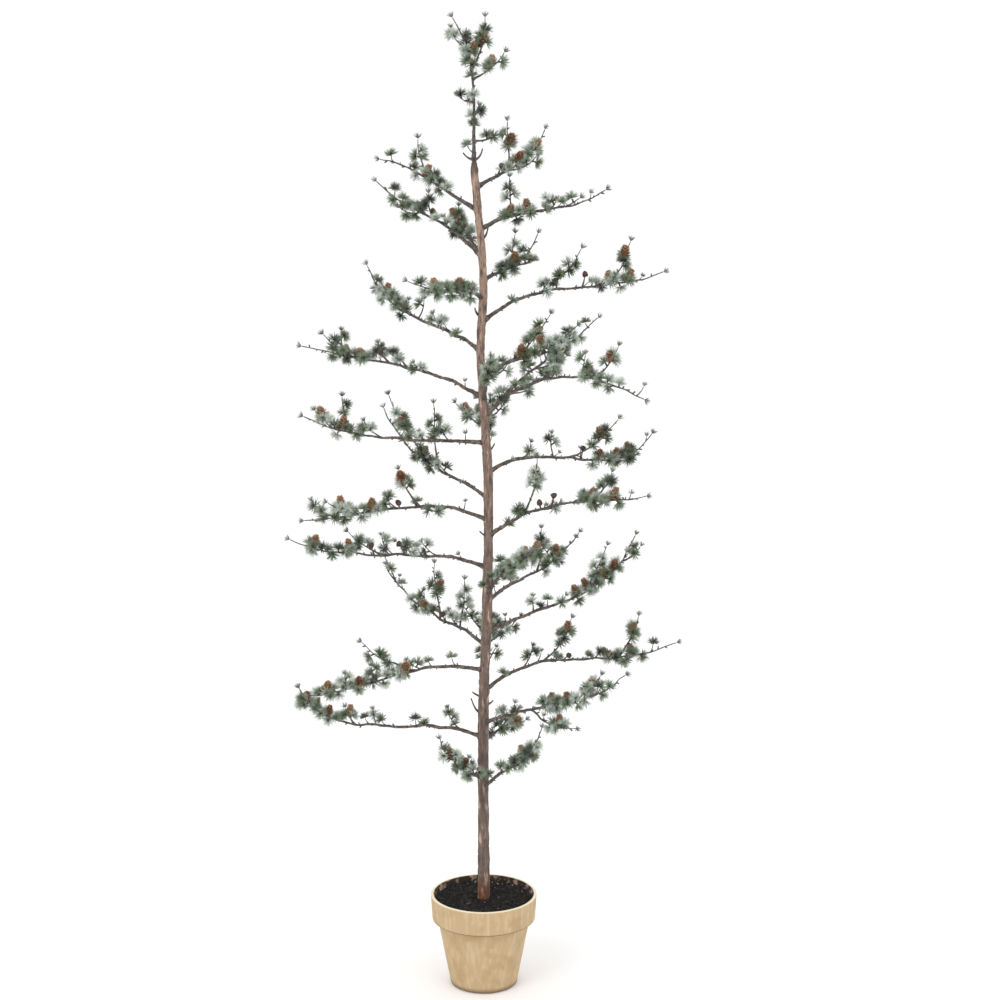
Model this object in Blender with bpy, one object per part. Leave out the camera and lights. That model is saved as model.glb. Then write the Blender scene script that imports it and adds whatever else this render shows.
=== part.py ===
"""An artificial larch, 1.8 m tall, standing in a filled clay pot.

Everything is in metres, +Z up, with the origin at the centre of the pot's flat underside.
The trunk and the bare inner parts of its boughs are single tapering limbs. Each bough carries
one mass: a stem that goes on from the limb, its forks and side twigs, tufts of needles and
cones, fused into one solid. Compass angles are in degrees, from 0 at +X through 90 at +Y.
"""

import math
import random
from collections import namedtuple

import bmesh
import bpy
from mathutils import Vector

UP = Vector((0.0, 0.0, 1.0))
GAP = 0.0003

# Clay pot
POT_HEIGHT = 0.175
RIM_RADIUS = 0.0995
BAND_HEIGHT = 0.048
BAND_FOOT_RADIUS = 0.0965
BODY_TOP_RADIUS = 0.0865
BASE_RADIUS = 0.0625
WALL = 0.0065
EDGE = 0.0020
POT_SEGMENTS = 32

# Potting fill, with a flat top
SOIL_LEVEL = 0.165

# Trunk: height of each station and how far the stick leans there, to the right and to the back
TRUNK_FOOT = SOIL_LEVEL + GAP
TRUNK_TOP = 1.540
TRUNK_LEAN = (
    (TRUNK_FOOT, 0.000, 0.000),
    (0.550, 0.000, 0.002),
    (0.720, 0.007, 0.003),
    (0.970, 0.009, -0.002),
    (1.200, -0.004, -0.004),
    (1.330, 0.001, 0.000),
    (TRUNK_TOP, -0.015, 0.002),
)
TRUNK_FOOT_RADIUS = 0.0110
TRUNK_TOP_RADIUS = 0.0066
TRUNK_TIP_RADIUS = 0.0036
TRUNK_TIP_HEIGHT = 0.016
FLARE = 0.10
FLARE_HEIGHT = 0.030
TRUNK_SIDES = 10
TRUNK_RINGS = 22

# Limbs and twigs: a path's handles are a share of its chord, and a fork curls by its bend
LIMB_ROOT_RADIUS = 0.0034
LIMB_TIP_RADIUS = 0.0013
BARE_ROOT_SHARE = 0.25
FORK_RADIUS = 0.0018
TWIG_RADIUS = 0.0011
LIMB_SIDES = 6
TWIG_SIDES = 3
LIMB_RING_STEP = 0.030
STEM_RING_STEP = 0.045
HANDLE = 0.38
FORK_BEND = 16.0
BOUGH_STEPS = 40
FORK_STEPS = 16
SEARCH_STEPS = 400
TRUNK_REACH = 0.006
SPACING = 0.004

# Needle tufts: each sits on a spur, and has an upper and a lower whorl of needles
TUFT_RADIUS = 0.0190
ROSETTE_RADIUS = 0.0120
CORE_SHARE = 0.20
SPRAY_SIDES = 3
UPPER_WHORL = (38.0, 0.30)
LOWER_WHORL = (98.0, 0.72)
WHORL_JITTER = (12.0, 0.12)
SPUR_LENGTH = 0.0060
TUFT_STEP = 0.0105
TUFT_LIFT = 0.55
CROWDING = 0.021
GOLDEN_TURN = 137.5

# Cones: each stands up from its stem, widest past the middle
CONE_LENGTH = 0.027
CONE_RADIUS = 0.0088
CONE_SIDES = 5
CONE_RINGS = ((0.30, 0.86), (0.68, 1.0))
CONE_MIDDLE = 0.60
CONE_LEAN = (0.2, 0.8)
BALL_RADIUS = 0.0060

# What grows where along a stem
SIDE_TWIG_STEP = 0.042
SIDE_TWIG_LENGTH = (0.012, 0.026)
SIDE_TWIG_CLIMB = (35.0, 80.0)
SIDE_TWIG_SWING = (30.0, 100.0)
SIDE_TWIGS_FROM = 0.10
FORK_LEAFY = (0.40, 0.80)
FORK_CONE_CHANCE = 0.40
BALL_CHANCE = 0.35

Fork = namedtuple("Fork", "share swing reach rise")
Bough = namedtuple(
    "Bough", "name height compass reach rise root_climb tip_climb wood leafy cones forks"
)
Stem = namedtuple("Stem", "path compass first_radius last_radius")
Tuft = namedtuple("Tuft", "foot out radius")
Cone = namedtuple("Cone", "foot out length")
Twig = namedtuple("Twig", "foot end compass")

# Each bough: where it leaves the trunk, its compass angle, how far out and up its tip is, how
# steeply it leaves and ends, the share of it that is a bare limb, the stretch that carries
# needles, its number of cones, and its forks: share along it, swing, and reach and rise of the
# fork's tip. The top is the leader, which goes on from the trunk's end.
BOUGHS = (
    Bough("left_1", 0.402, 232, 0.126, 0.106, 25, 60, 0.00, (0.24, 0.84), 2,
          (Fork(0.30, 52, 0.080, 0.030),)),
    Bough("left_2", 0.479, 172, 0.345, 0.078, 24, 62, 0.52, (0.70, 0.93), 2,
          (Fork(0.62, 25, 0.020, 0.035), Fork(0.80, 35, 0.050, 0.060))),
    Bough("left_3", 0.608, 205, 0.340, -0.005, 20, 0, 0.34, (0.44, 0.97), 3,
          (Fork(0.40, -26, 0.100, 0.050),)),
    Bough("left_4", 0.655, 128, 0.316, 0.107, 18, 58, 0.16, (0.45, 0.66), 1,
          (Fork(0.22, -50, 0.045, 0.080), Fork(0.38, -25, 0.060, 0.090))),
    Bough("left_5", 0.803, 178, 0.360, 0.050, 22, 24, 0.24, (0.66, 0.92), 2,
          (Fork(0.30, 30, 0.060, 0.030), Fork(0.52, -30, 0.080, 0.030))),
    Bough("left_6", 0.891, 200, 0.342, 0.026, 30, 0, 0.30, (0.62, 0.92), 2,
          (Fork(0.40, -55, 0.045, 0.062), Fork(0.70, 20, 0.080, 0.030))),
    Bough("left_7", 0.932, 128, 0.326, 0.120, 18, 52, 0.30, (0.44, 0.64), 1,
          (Fork(0.38, 20, 0.118, 0.130), Fork(0.42, -20, 0.030, 0.115))),
    Bough("left_8", 1.035, 188, 0.328, 0.056, 8, 26, 0.56, (0.66, 0.86), 1,
          (Fork(0.74, -50, 0.020, 0.060), Fork(0.80, 25, 0.050, 0.040))),
    Bough("left_9", 1.118, 168, 0.336, 0.084, 30, 14, 0.30, (0.62, 0.86), 2,
          (Fork(0.38, -25, 0.068, 0.035), Fork(0.68, 20, 0.072, 0.045))),
    Bough("left_10", 1.201, 132, 0.318, 0.125, 26, 58, 0.36, (0.56, 0.90), 1,
          (Fork(0.46, 20, 0.090, 0.070),)),
    Bough("left_11", 1.296, 238, 0.169, 0.030, 26, 5, 0.00, (0.24, 0.95), 3,
          (Fork(0.50, -38, 0.090, 0.020),)),
    Bough("left_12", 1.367, 145, 0.233, 0.123, 44, 36, 0.16, (0.56, 0.82), 1,
          (Fork(0.24, -55, 0.050, 0.045), Fork(0.48, -20, 0.015, 0.045))),
    Bough("left_13", 1.452, 162, 0.182, 0.087, 27, 14, 0.00, (0.28, 0.70), 1,
          (Fork(0.52, -30, 0.028, 0.070),)),
    Bough("right_1", 1.492, 40, 0.158, 0.092, 22, 60, 0.00, (0.36, 0.86), 2,
          (Fork(0.44, 60, 0.022, 0.080),)),
    Bough("right_2", 1.417, 345, 0.227, 0.075, 34, 34, 0.00, (0.18, 0.42), 2,
          (Fork(0.24, 100, 0.020, 0.066), Fork(0.64, 20, 0.034, 0.016))),
    Bough("right_3", 1.328, 60, 0.197, 0.064, 14, 52, 0.00, (0.22, 0.60), 1,
          (Fork(0.45, 10, 0.020, 0.055), Fork(0.50, -50, 0.034, 0.008))),
    Bough("right_4", 1.252, 14, 0.335, 0.081, 42, 20, 0.28, (0.64, 0.86), 2,
          (Fork(0.34, 24, 0.100, 0.070), Fork(0.72, 10, 0.045, 0.075))),
    Bough("right_5", 1.164, 330, 0.192, 0.098, 22, 44, 0.00, (0.34, 0.82), 2,
          (Fork(0.27, 34, 0.070, 0.085),)),
    Bough("right_6", 1.079, 52, 0.345, 0.144, 34, 24, 0.36, (0.62, 0.84), 1,
          (Fork(0.44, -34, 0.060, 0.020),)),
    Bough("right_7", 1.083, 326, 0.332, 0.064, 46, -24, 0.30, (0.62, 0.86), 1,
          (Fork(0.40, 30, 0.034, 0.036), Fork(0.70, 30, 0.045, 0.055))),
    Bough("right_8", 0.979, 28, 0.345, 0.041, 32, 50, 0.34, (0.58, 0.86), 3,
          (Fork(0.46, -24, 0.090, 0.072),)),
    Bough("right_9", 0.862, 318, 0.364, 0.126, 38, 14, 0.20, (0.64, 0.86), 2,
          (Fork(0.26, 70, 0.022, 0.100), Fork(0.70, 25, 0.036, 0.055))),
    Bough("right_10", 0.739, 55, 0.302, 0.073, 18, 36, 0.44, (0.56, 0.80), 1,
          (Fork(0.52, 20, 0.035, 0.070),)),
    Bough("right_11", 0.679, 40, 0.372, 0.128, 16, 60, 0.40, (0.50, 0.84), 4,
          (Fork(0.56, 8, 0.072, 0.080),)),
    Bough("right_12", 0.565, 12, 0.365, 0.075, 46, 24, 0.26, (0.66, 0.84), 2,
          (Fork(0.34, 28, 0.070, 0.070), Fork(0.72, 20, 0.045, 0.070))),
    Bough("right_13", 0.506, 312, 0.369, 0.174, 30, 40, 0.28, (0.40, 0.74), 2,
          (Fork(0.34, -10, 0.140, 0.000), Fork(0.62, 40, 0.050, 0.050))),
    Bough("right_14", 0.472, 65, 0.135, 0.032, 5, 50, 0.00, (0.34, 0.84), 0,
          (Fork(0.44, -50, 0.050, 0.014),)),
    Bough("right_15", 0.380, 302, 0.198, 0.173, 44, 66, 0.00, (0.38, 0.84), 1,
          (Fork(0.48, 40, 0.040, 0.040),)),
    Bough("front_1", 0.750, 288, 0.254, 0.141, 42, 26, 0.00, (0.42, 0.90), 3,
          (Fork(0.50, 30, 0.090, 0.060),)),
    Bough("front_2", 1.111, 278, 0.100, 0.095, 50, 50, 0.00, (0.44, 0.96), 1,
          (Fork(0.50, 45, 0.045, 0.035),)),
    Bough("back_1", 1.367, 104, 0.170, 0.055, 20, 25, 0.34, (0.48, 0.90), 1,
          (Fork(0.50, 34, 0.060, 0.020),)),
    Bough("back_2", 1.010, 92, 0.300, 0.060, 20, 20, 0.36, (0.54, 0.84), 2,
          (Fork(0.60, -36, 0.090, 0.040), Fork(0.50, 40, 0.080, 0.030))),
    Bough("back_3", 0.585, 88, 0.330, 0.070, 22, 20, 0.36, (0.54, 0.84), 2,
          (Fork(0.58, 36, 0.100, 0.050), Fork(0.46, -40, 0.090, 0.030))),
    Bough("top", TRUNK_TOP, 180, 0.037, 0.245, 88, 58, 0.00, (0.62, 0.86), 1,
          (Fork(0.12, 180, 0.045, 0.012), Fork(0.30, 120, 0.016, 0.014),
           Fork(0.55, 172, 0.055, 0.045), Fork(0.62, 190, 0.024, 0.088))),
)


def heading(compass):
    """The level direction of a compass angle."""
    turn = math.radians(compass)
    return Vector((math.cos(turn), math.sin(turn), 0.0))


def between(low, high, share):
    """The value at this share of the way from low to high."""
    return low + (high - low) * share


def trunk_axis(height):
    """The trunk's centre at this height, on a smooth line through the stations of its lean."""
    last = len(TRUNK_LEAN) - 1
    k = 0
    while k < last - 1 and height > TRUNK_LEAN[k + 1][0]:
        k += 1
    a, b, c, d = (Vector(TRUNK_LEAN[min(max(j, 0), last)]) for j in range(k - 1, k + 3))
    t = (height - b[0]) / (c[0] - b[0])
    curve = 2 * b + (c - a) * t + (2 * a - 5 * b + 4 * c - d) * t**2
    curve += (3 * b - a - 3 * c + d) * t**3
    return Vector((curve[1] / 2, curve[2] / 2, height))


def trunk_radius(height):
    """A straight taper with a slow waver, a low root flare and a knuckle drawn in at the top."""
    share = (height - TRUNK_FOOT) / (TRUNK_TOP - TRUNK_FOOT)
    taper = between(TRUNK_FOOT_RADIUS, TRUNK_TOP_RADIUS, share) * (1 + 0.03 * math.sin(34 * share))
    flare = 1 + FLARE * math.exp(-(height - TRUNK_FOOT) / FLARE_HEIGHT)
    drawn_in = max(0.0, 1 - (TRUNK_TOP - height) / TRUNK_TIP_HEIGHT)
    return between(taper * flare, TRUNK_TIP_RADIUS, drawn_in)


def trunk_face(height, compass):
    """How far out the trunk's side stands, towards this compass angle and around this height."""
    out = heading(compass)
    heights = [min(height + step, TRUNK_TOP) for step in (-TRUNK_REACH, 0.0, TRUNK_REACH)]
    return max(trunk_axis(z).dot(out) + trunk_radius(z) for z in heights)


def climbing_path(start, compass, reach, rise, root_climb, tip_climb, count):
    """A cubic in one upright plane, whose two handles set how steeply it leaves and ends."""
    out = heading(compass)
    handle = HANDLE * math.hypot(reach, rise)
    first = math.radians(root_climb)
    last = math.radians(tip_climb)
    end = start + out * reach + UP * rise
    near = start + (out * math.cos(first) + UP * math.sin(first)) * handle
    far = end - (out * math.cos(last) + UP * math.sin(last)) * handle
    points = []
    for i in range(count + 1):
        t = i / count
        s = 1 - t
        points.append(s**3 * start + 3 * s * s * t * near + 3 * s * t * t * far + t**3 * end)
    return points


def bough_path(bough):
    """The bough's centreline, from the trunk's axis to its tip."""
    return climbing_path(
        trunk_axis(bough.height), bough.compass, bough.reach, bough.rise,
        bough.root_climb, bough.tip_climb, BOUGH_STEPS,
    )


def fork_path(bough, fork, path):
    """A fork's centreline: it leaves low and curls up, in a plane swung from the bough's own."""
    climb = math.degrees(math.atan2(fork.rise, fork.reach))
    return climbing_path(
        point_at(path, fork.share), bough.compass + fork.swing, fork.reach, fork.rise,
        climb - FORK_BEND, climb + FORK_BEND, FORK_STEPS,
    )


def point_at(path, share):
    """The point at this share of the path's steps."""
    where = min(max(share, 0.0), 1.0) * (len(path) - 1)
    k = min(int(where), len(path) - 2)
    return path[k].lerp(path[k + 1], where - k)


def direction_at(path, share):
    """The unit direction in which the path runs at this share."""
    step = 0.5 / (len(path) - 1)
    return (point_at(path, share + step) - point_at(path, share - step)).normalized()


def path_length(path):
    """The length of a path."""
    return sum((b - a).length for a, b in zip(path, path[1:]))


def part_of(path, first, last):
    """The stretch of a path between two shares, as evenly many points."""
    count = max(4, round((last - first) * (len(path) - 1)))
    return [point_at(path, between(first, last, i / count)) for i in range(count + 1)]


def share_clear_of_trunk(bough, path):
    """The first share at which the path stands clear of the trunk's side."""
    face = trunk_face(bough.height, bough.compass) + GAP
    out = heading(bough.compass)
    for i in range(SEARCH_STEPS):
        share = i / SEARCH_STEPS
        if point_at(path, share).dot(out) >= face:
            return share
    return 1.0


def tufts_along(stem, leafy, dice):
    """Tufts in a spiral along the leafy stretch of a stem, lifted towards the light."""
    first, last = leafy
    count = max(1, round(path_length(stem.path) * (last - first) / TUFT_STEP))
    across = heading(stem.compass + 90)
    turn = dice.uniform(0, 360)
    tufts = []
    for k in range(count):
        share = between(first, last, (k + dice.uniform(0.25, 0.75)) / count)
        turn += GOLDEN_TURN
        lift = direction_at(stem.path, share).cross(across)
        angle = math.radians(turn)
        out = across * math.cos(angle) - lift * math.sin(angle) + UP * TUFT_LIFT
        radius = TUFT_RADIUS * dice.uniform(0.86, 1.0)
        tufts.append(Tuft(point_at(stem.path, share), out.normalized(), radius))
    return tufts


def cones_along(stem, leafy, count, dice):
    """Cones spread over the leafy stretch, standing up from the stem."""
    first, last = leafy
    cones = []
    for k in range(count):
        share = between(first, last, (k + dice.uniform(0.2, 0.8)) / count)
        lean = heading(dice.uniform(0, 360)) * dice.uniform(*CONE_LEAN)
        length = CONE_LENGTH * dice.uniform(0.85, 1.05)
        cones.append(Cone(point_at(stem.path, share), (UP + lean).normalized(), length))
    return cones


def side_twigs_along(stem, first, last, dice):
    """Short bare twigs along a stretch of a stem, each with a tuft or a small ball at its end."""
    count = int(path_length(stem.path) * (last - first) / SIDE_TWIG_STEP)
    twigs = []
    for k in range(count):
        share = between(first, last, (k + dice.uniform(0.2, 0.8)) / count)
        compass = stem.compass + dice.choice((-1, 1)) * dice.uniform(*SIDE_TWIG_SWING)
        climb = math.radians(dice.uniform(*SIDE_TWIG_CLIMB))
        length = dice.uniform(*SIDE_TWIG_LENGTH)
        foot = point_at(stem.path, share)
        end = foot + (heading(compass) * math.cos(climb) + UP * math.sin(climb)) * length
        twigs.append((Twig(foot, end, compass), dice.random() < BALL_CHANCE))
    return twigs


class Space:
    """What is already taken near the tree: balls of space, each with its owner."""

    def __init__(self):
        self.taken = []

    def is_free(self, owner, points, radius):
        """Whether balls of this radius at these points miss what every other owner has taken."""
        return all(
            other == owner or (centre - point).length > radius + size + GAP
            for other, centre, size in self.taken
            for point in points
        )

    def take(self, owner, points, radius):
        """Mark balls of this radius at these points as the owner's."""
        self.taken.extend((owner, point, radius) for point in points)

    def claim(self, owner, points, radius):
        """Take the space if nobody else has it, and say whether it was taken."""
        free = self.is_free(owner, points, radius)
        if free:
            self.take(owner, points, radius)
        return free


def dense(path):
    """Points along a path, close enough together for balls on them to stand for the stem."""
    count = max(1, math.ceil(path_length(path) / SPACING))
    return [point_at(path, i / count) for i in range(count + 1)]


def ring(bm, centre, normal, compass, radius, sides):
    """A ring of vertices round a centre, square to a direction in an upright plane."""
    across = heading(compass + 90)
    lift = normal.cross(across).normalized()
    corners = []
    for i in range(sides):
        angle = 2 * math.pi * i / sides
        spot = centre + (across * math.cos(angle) + lift * math.sin(angle)) * radius
        corners.append(bm.verts.new(spot))
    return corners


def loft(bm, rings):
    """A closed skin over a row of rings, with flat ends."""
    sides = len(rings[0])
    for low, high in zip(rings, rings[1:]):
        for i in range(sides):
            j = (i + 1) % sides
            bm.faces.new((low[i], low[j], high[j], high[i]))
    bm.faces.new(list(reversed(rings[0])))
    bm.faces.new(rings[-1])
    bmesh.ops.recalc_face_normals(bm, faces=bm.faces)


def mesh_from(bm, name):
    """The mesh of a bmesh, which is then freed."""
    mesh = bpy.data.meshes.new(name)
    bm.to_mesh(mesh)
    bm.free()
    return mesh


def stem_mesh(stem, sides, step, first_normal=None):
    """A tapering round stem along its path, with a ring about every step."""
    count = max(2, round(path_length(stem.path) / step))
    bm = bmesh.new()
    rings = []
    for i in range(count + 1):
        share = i / count
        normal = direction_at(stem.path, share)
        if i == 0 and first_normal is not None:
            normal = first_normal
        radius = between(stem.first_radius, stem.last_radius, share)
        rings.append(ring(bm, point_at(stem.path, share), normal, stem.compass, radius, sides))
    loft(bm, rings)
    return mesh_from(bm, "stem")


def star_mesh(centre, out, radius, foot, dice):
    """A slim core with a needle raised from each of its faces, drawn out to a foot if given."""
    core = radius * CORE_SHARE
    side = out.orthogonal().normalized()
    front = out.cross(side)
    sector = 2 * math.pi / SPRAY_SIDES

    def level(turns):
        return side * math.cos(sector * turns) + front * math.sin(sector * turns)

    bm = bmesh.new()
    crown = bm.verts.new(centre + out * core)
    root = bm.verts.new(foot if foot is not None else centre - out * core)
    belt = [bm.verts.new(centre + level(i) * core) for i in range(SPRAY_SIDES)]
    for i in range(SPRAY_SIDES):
        j = (i + 1) % SPRAY_SIDES
        for pole, (polar, turn) in ((crown, UPPER_WHORL), (root, LOWER_WHORL)):
            tilt = math.radians(polar + WHORL_JITTER[0] * dice.uniform(-1, 1))
            length = radius * dice.uniform(0.85, 1.0)
            run = level(i + turn + WHORL_JITTER[1] * dice.uniform(-1, 1)) * math.sin(tilt)
            if pole is root and foot is None:
                bm.faces.new((pole, belt[i], belt[j]))
                continue
            tip = bm.verts.new(centre + (run + out * math.cos(tilt)) * length)
            for a, b in ((belt[i], belt[j]), (belt[j], pole), (pole, belt[i])):
                bm.faces.new((a, b, tip))
    bmesh.ops.recalc_face_normals(bm, faces=bm.faces)
    return mesh_from(bm, "tuft")


def cone_mesh(cone):
    """An egg-shaped cone: two rings between a point at its foot and a blunt point at its tip."""
    side = cone.out.orthogonal().normalized()
    front = cone.out.cross(side)
    bm = bmesh.new()
    foot = bm.verts.new(cone.foot)
    tip = bm.verts.new(cone.foot + cone.out * cone.length)
    rings = []
    for share, girth in CONE_RINGS:
        centre = cone.foot + cone.out * cone.length * share
        size = CONE_RADIUS * girth * cone.length / CONE_LENGTH
        turns = [2 * math.pi * i / CONE_SIDES for i in range(CONE_SIDES)]
        rings.append([
            bm.verts.new(centre + (side * math.cos(a) + front * math.sin(a)) * size) for a in turns
        ])
    for i in range(CONE_SIDES):
        j = (i + 1) % CONE_SIDES
        bm.faces.new((foot, rings[0][j], rings[0][i]))
        bm.faces.new((rings[0][i], rings[0][j], rings[1][j], rings[1][i]))
        bm.faces.new((tip, rings[1][i], rings[1][j]))
    bmesh.ops.recalc_face_normals(bm, faces=bm.faces)
    return mesh_from(bm, "cone")


def ball_mesh(centre):
    """A small closed cone, as a ball of eight faces."""
    bm = bmesh.new()
    poles = [bm.verts.new(centre + UP * step) for step in (-BALL_RADIUS, BALL_RADIUS)]
    belt = [bm.verts.new(centre + heading(90 * i) * BALL_RADIUS) for i in range(4)]
    for pole in poles:
        for i in range(4):
            bm.faces.new((pole, belt[i], belt[(i + 1) % 4]))
    bmesh.ops.recalc_face_normals(bm, faces=bm.faces)
    return mesh_from(bm, "ball")


def turned_mesh(profile, segments, name):
    """A closed solid of revolution from (radius, height) pairs that start and end on the axis."""
    bm = bmesh.new()
    bottom = bm.verts.new((0, 0, profile[0][1]))
    top = bm.verts.new((0, 0, profile[-1][1]))
    rings = []
    for radius, height in profile[1:-1]:
        turns = [2 * math.pi * i / segments for i in range(segments)]
        rings.append([
            bm.verts.new((radius * math.cos(a), radius * math.sin(a), height)) for a in turns
        ])
    for i in range(segments):
        j = (i + 1) % segments
        bm.faces.new((bottom, rings[0][j], rings[0][i]))
        for low, high in zip(rings, rings[1:]):
            bm.faces.new((low[i], low[j], high[j], high[i]))
        bm.faces.new((top, rings[-1][i], rings[-1][j]))
    bmesh.ops.recalc_face_normals(bm, faces=bm.faces)
    return mesh_from(bm, name)


def finish(name, red, green, blue, roughness):
    """A Principled material in one linear colour."""
    material = bpy.data.materials.new(name)
    material.use_nodes = True
    shader = material.node_tree.nodes["Principled BSDF"]
    shader.inputs["Base Color"].default_value = (red, green, blue, 1)
    shader.inputs["Roughness"].default_value = roughness
    shader.inputs["Metallic"].default_value = 0.0
    return material


def place(name, mesh, material):
    """A named object for a mesh, with its material."""
    mesh.materials.clear()
    mesh.materials.append(material)
    piece = bpy.data.objects.new(name, mesh)
    bpy.context.scene.collection.objects.link(piece)
    return piece


def keep_largest_body(mesh):
    """Drop loose scraps and sealed hollows, so that one closed skin is left."""
    bm = bmesh.new()
    bm.from_mesh(mesh)
    left = set(bm.verts)
    bodies = []
    while left:
        seed = left.pop()
        body = {seed}
        edge = [seed]
        while edge:
            vert = edge.pop()
            for link in vert.link_edges:
                other = link.other_vert(vert)
                if other not in body:
                    body.add(other)
                    edge.append(other)
        left -= body
        bodies.append(body)
    bodies.sort(key=len)
    for body in bodies[:-1]:
        bmesh.ops.delete(bm, geom=list(body), context="VERTS")
    bm.to_mesh(mesh)
    bm.free()


def fuse(name, stem, pieces, material):
    """One mass: the stem and all its pieces joined by one Boolean union on their collection."""
    mass = place(name, stem, material)
    parts = bpy.data.collections.new(name + "_pieces")
    bpy.context.scene.collection.children.link(parts)
    for mesh in pieces:
        parts.objects.link(bpy.data.objects.new("piece", mesh))
    union = mass.modifiers.new("fuse", "BOOLEAN")
    union.operation = "UNION"
    union.operand_type = "COLLECTION"
    union.collection = parts
    union.solver = "EXACT"
    seen = mass.evaluated_get(bpy.context.evaluated_depsgraph_get())
    fused = bpy.data.meshes.new_from_object(seen)
    mass.modifiers.remove(union)
    for piece in list(parts.objects):
        bpy.data.objects.remove(piece, do_unlink=True)
    bpy.data.collections.remove(parts)
    keep_largest_body(fused)
    fused.materials.clear()
    fused.materials.append(material)
    mass.data = fused
    return mass


def build_pot(clay):
    """The clay pot: a tapering body under a deep rim band, open at the top."""
    shoulder = POT_HEIGHT - BAND_HEIGHT
    floor = WALL + EDGE
    inner_rim = RIM_RADIUS - WALL
    profile = (
        (0.0, 0.0),
        (BASE_RADIUS - EDGE / 2, 0.0),
        (BASE_RADIUS, EDGE),
        (BODY_TOP_RADIUS, shoulder),
        (BAND_FOOT_RADIUS - EDGE / 2, shoulder),
        (BAND_FOOT_RADIUS, shoulder + EDGE),
        (RIM_RADIUS, POT_HEIGHT - EDGE),
        (RIM_RADIUS - EDGE / 2, POT_HEIGHT),
        (inner_rim, POT_HEIGHT),
        (pot_bore(POT_HEIGHT - EDGE), POT_HEIGHT - EDGE),
        (pot_bore(floor), floor),
        (0.0, floor),
    )
    return place("pot", turned_mesh(profile, POT_SEGMENTS, "pot"), clay)


def pot_bore(height):
    """The radius of the pot's inner wall at this height."""
    share = height / POT_HEIGHT
    return between(BASE_RADIUS, RIM_RADIUS - EDGE, share) - WALL


def build_soil(fill):
    """The fill: a plug that stands clear of the pot by the gap, with a flat top."""
    foot = WALL + EDGE + GAP
    profile = (
        (0.0, foot),
        (pot_bore(foot) - GAP, foot),
        (pot_bore(SOIL_LEVEL) - GAP, SOIL_LEVEL),
        (0.0, SOIL_LEVEL),
    )
    return place("soil", turned_mesh(profile, POT_SEGMENTS, "soil"), fill)


def build_trunk(bark):
    """The trunk, from its flat cut on the fill to the drawn-in end under the leader."""
    bm = bmesh.new()
    heights = [between(TRUNK_FOOT, TRUNK_TOP - TRUNK_TIP_HEIGHT, i / TRUNK_RINGS)
               for i in range(TRUNK_RINGS + 1)]
    heights.insert(1, TRUNK_FOOT + FLARE_HEIGHT / 2)
    heights.append(TRUNK_TOP)
    rings = [ring(bm, trunk_axis(z), UP, 0, trunk_radius(z), TRUNK_SIDES) for z in heights]
    loft(bm, rings)
    return place("trunk", mesh_from(bm, "trunk"), bark)


def limb_radius(share):
    """A bough's radius at a share of its way from the trunk to its tip."""
    return between(LIMB_ROOT_RADIUS, LIMB_TIP_RADIUS, share)


def split_bough(bough):
    """The bough's bare limb, if it has one, and the stem of its mass, clear of what carries it."""
    path = bough_path(bough)
    out = heading(bough.compass)
    if bough.name == "top":
        lifted = [path[0] + UP * GAP] + path[1:]
        return None, None, Stem(lifted, bough.compass, LIMB_ROOT_RADIUS, LIMB_TIP_RADIUS), UP
    first = share_clear_of_trunk(bough, path)
    if not bough.wood:
        root_radius = limb_radius(BARE_ROOT_SHARE)
        stem = Stem(part_of(path, first, 1), bough.compass, root_radius, LIMB_TIP_RADIUS)
        return None, None, stem, out
    limb = Stem(part_of(path, first, bough.wood), bough.compass,
                limb_radius(0), limb_radius(bough.wood))
    run = direction_at(limb.path, 1)
    outer = part_of(path, bough.wood, 1)
    outer[0] = limb.path[-1] + run * GAP
    return limb, out, Stem(outer, bough.compass, limb_radius(bough.wood), LIMB_TIP_RADIUS), run


def build_boughs(space, bark, needles):
    """Every limb and mass. Limbs and stems take their space first, then what grows on them."""
    halves = {bough.name: split_bough(bough) for bough in BOUGHS}
    for point in dense([trunk_axis(TRUNK_FOOT), trunk_axis(TRUNK_TOP)]):
        space.take("trunk", [trunk_axis(point.z)], trunk_radius(point.z))
    for name, (limb, _, stem, _) in halves.items():
        if limb:
            space.take("limb_" + name, dense(limb.path), limb.first_radius)
        space.take(name, dense(stem.path), stem.first_radius)
    forks = {bough.name: claim_forks(space, bough) for bough in BOUGHS}
    for number, bough in enumerate(BOUGHS):
        limb, root_normal, stem, stem_normal = halves[bough.name]
        if limb:
            mesh = stem_mesh(limb, LIMB_SIDES, LIMB_RING_STEP, root_normal)
            place("bough_" + bough.name, mesh, bark)
        pieces = grow(space, bough, stem, forks[bough.name], random.Random(number))
        base = stem_mesh(stem, TWIG_SIDES, STEM_RING_STEP, stem_normal)
        fuse("foliage_" + bough.name, base, pieces, needles)


def claim_forks(space, bough):
    """The bough's forks that have room, each starting on the centreline of its mass's stem."""
    path = bough_path(bough)
    stems = []
    for fork in bough.forks:
        line = fork_path(bough, fork, path)
        stem = Stem(line, bough.compass + fork.swing, FORK_RADIUS, TWIG_RADIUS)
        if fork.share > bough.wood and space.claim(bough.name, dense(line), FORK_RADIUS):
            stems.append(stem)
    return stems


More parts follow.
